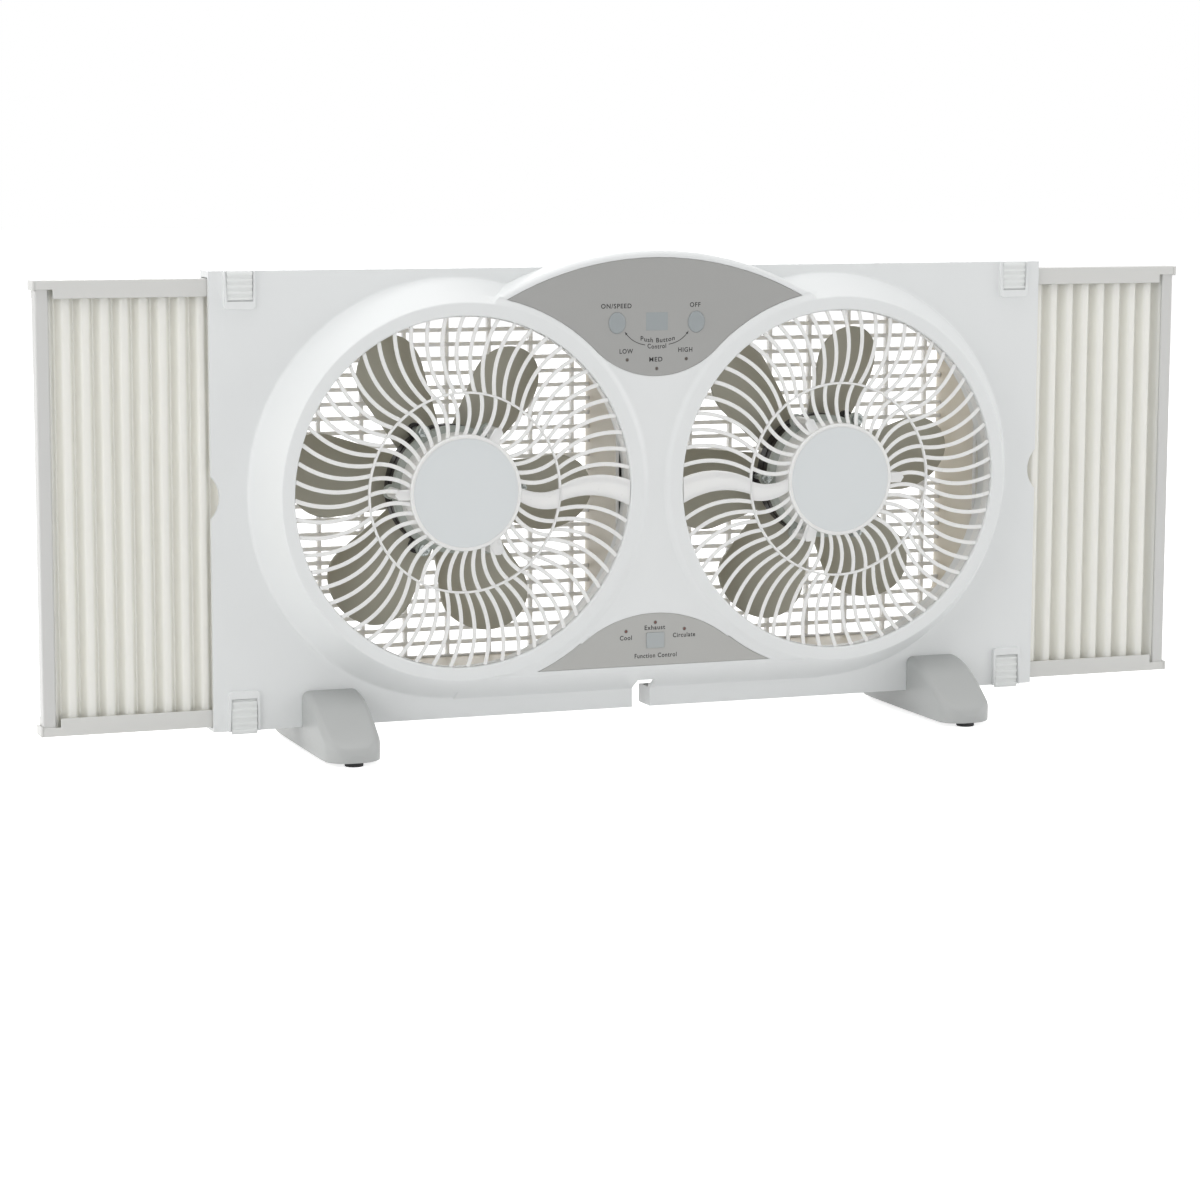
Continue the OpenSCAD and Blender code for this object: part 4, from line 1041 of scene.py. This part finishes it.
def foot_section(y, clipped):
    """Half of the foot's outline at y, from the middle of the sole to the middle of the top."""
    half, top = along(foot_halves, y), along(foot_tops, y)
    edge = min(foot_edge, 0.7 * (top - foot_sole), 0.6 * half)
    side_foot = foot_sole + sole_edge
    points = [(0, foot_sole), (half * 0.5, foot_sole), (half - sole_edge, foot_sole)]
    points += [(half, z) for z in spaced(side_foot, top - edge, 3)[:3]]
    for turn in spaced(0, math.pi / 2, 6):
        x, z = polar(edge, turn)
        points.append((half - edge + x, top - edge + z))
    points += [((half - edge) * 0.5, top), (0, top)]
    return [(x, min(z, saddle_floor) if clipped else z) for x, z in points]


def foot_mesh(middle):
    """Sections along the foot, joined to one closed skin with the saddle left open."""
    work = bmesh.new()
    stations = [(foot_front + step, False) for step in foot_steps]
    stations += [(saddle_front, False), (saddle_front, True)]
    stations += [(saddle_back, True), (saddle_back, False)]
    stations += [(foot_back - step, False) for step in reversed(foot_steps)]
    rings = []
    for y, clipped in stations:
        half = foot_section(y, clipped)
        outline = half + [(-x, z) for x, z in half[-2:0:-1]]
        places = [(middle + x, y + face_y / MM, z + body_lift) for x, z in outline]
        rings.append([work.verts.new(Vector(place) * MM) for place in places])
    count = len(rings[0])
    for near, far in zip(rings, rings[1:]):
        for i in range(count):
            j = (i + 1) % count
            work.faces.new((near[i], near[j], far[j], far[i]))
    work.faces.new(rings[0])
    work.faces.new(rings[-1][::-1])
    bmesh.ops.remove_doubles(work, verts=work.verts, dist=1e-6)
    bmesh.ops.dissolve_degenerate(work, dist=1e-6, edges=work.edges)
    bmesh.ops.recalc_face_normals(work, faces=work.faces)
    mesh = bpy.data.meshes.new("foot")
    work.to_mesh(mesh)
    work.free()
    return mesh


# Light grey ABS: satin, with wide soft edges that shade the foot as one rounded block.
foot_plastic = moulded("light_grey_foot_plastic", "B6B8B7", 0.42, edge_mm=1.0, mottle=0.015)
# Black rubber, matt, seen as a thin dark line under each foot.
pad_rubber = moulded("black_pad_rubber", "1C1C1E", 0.7, edge_mm=0.5)
for side_name, side in SIDES.items():
    foot_node = [side_name + "_foot"]
    show(side_name + "_saddle_foot", foot_mesh(side * foot_x), foot_plastic, foot_node, smooth=40)
from_cad("foot_pads", pad_rubber, round_mm=0.4)
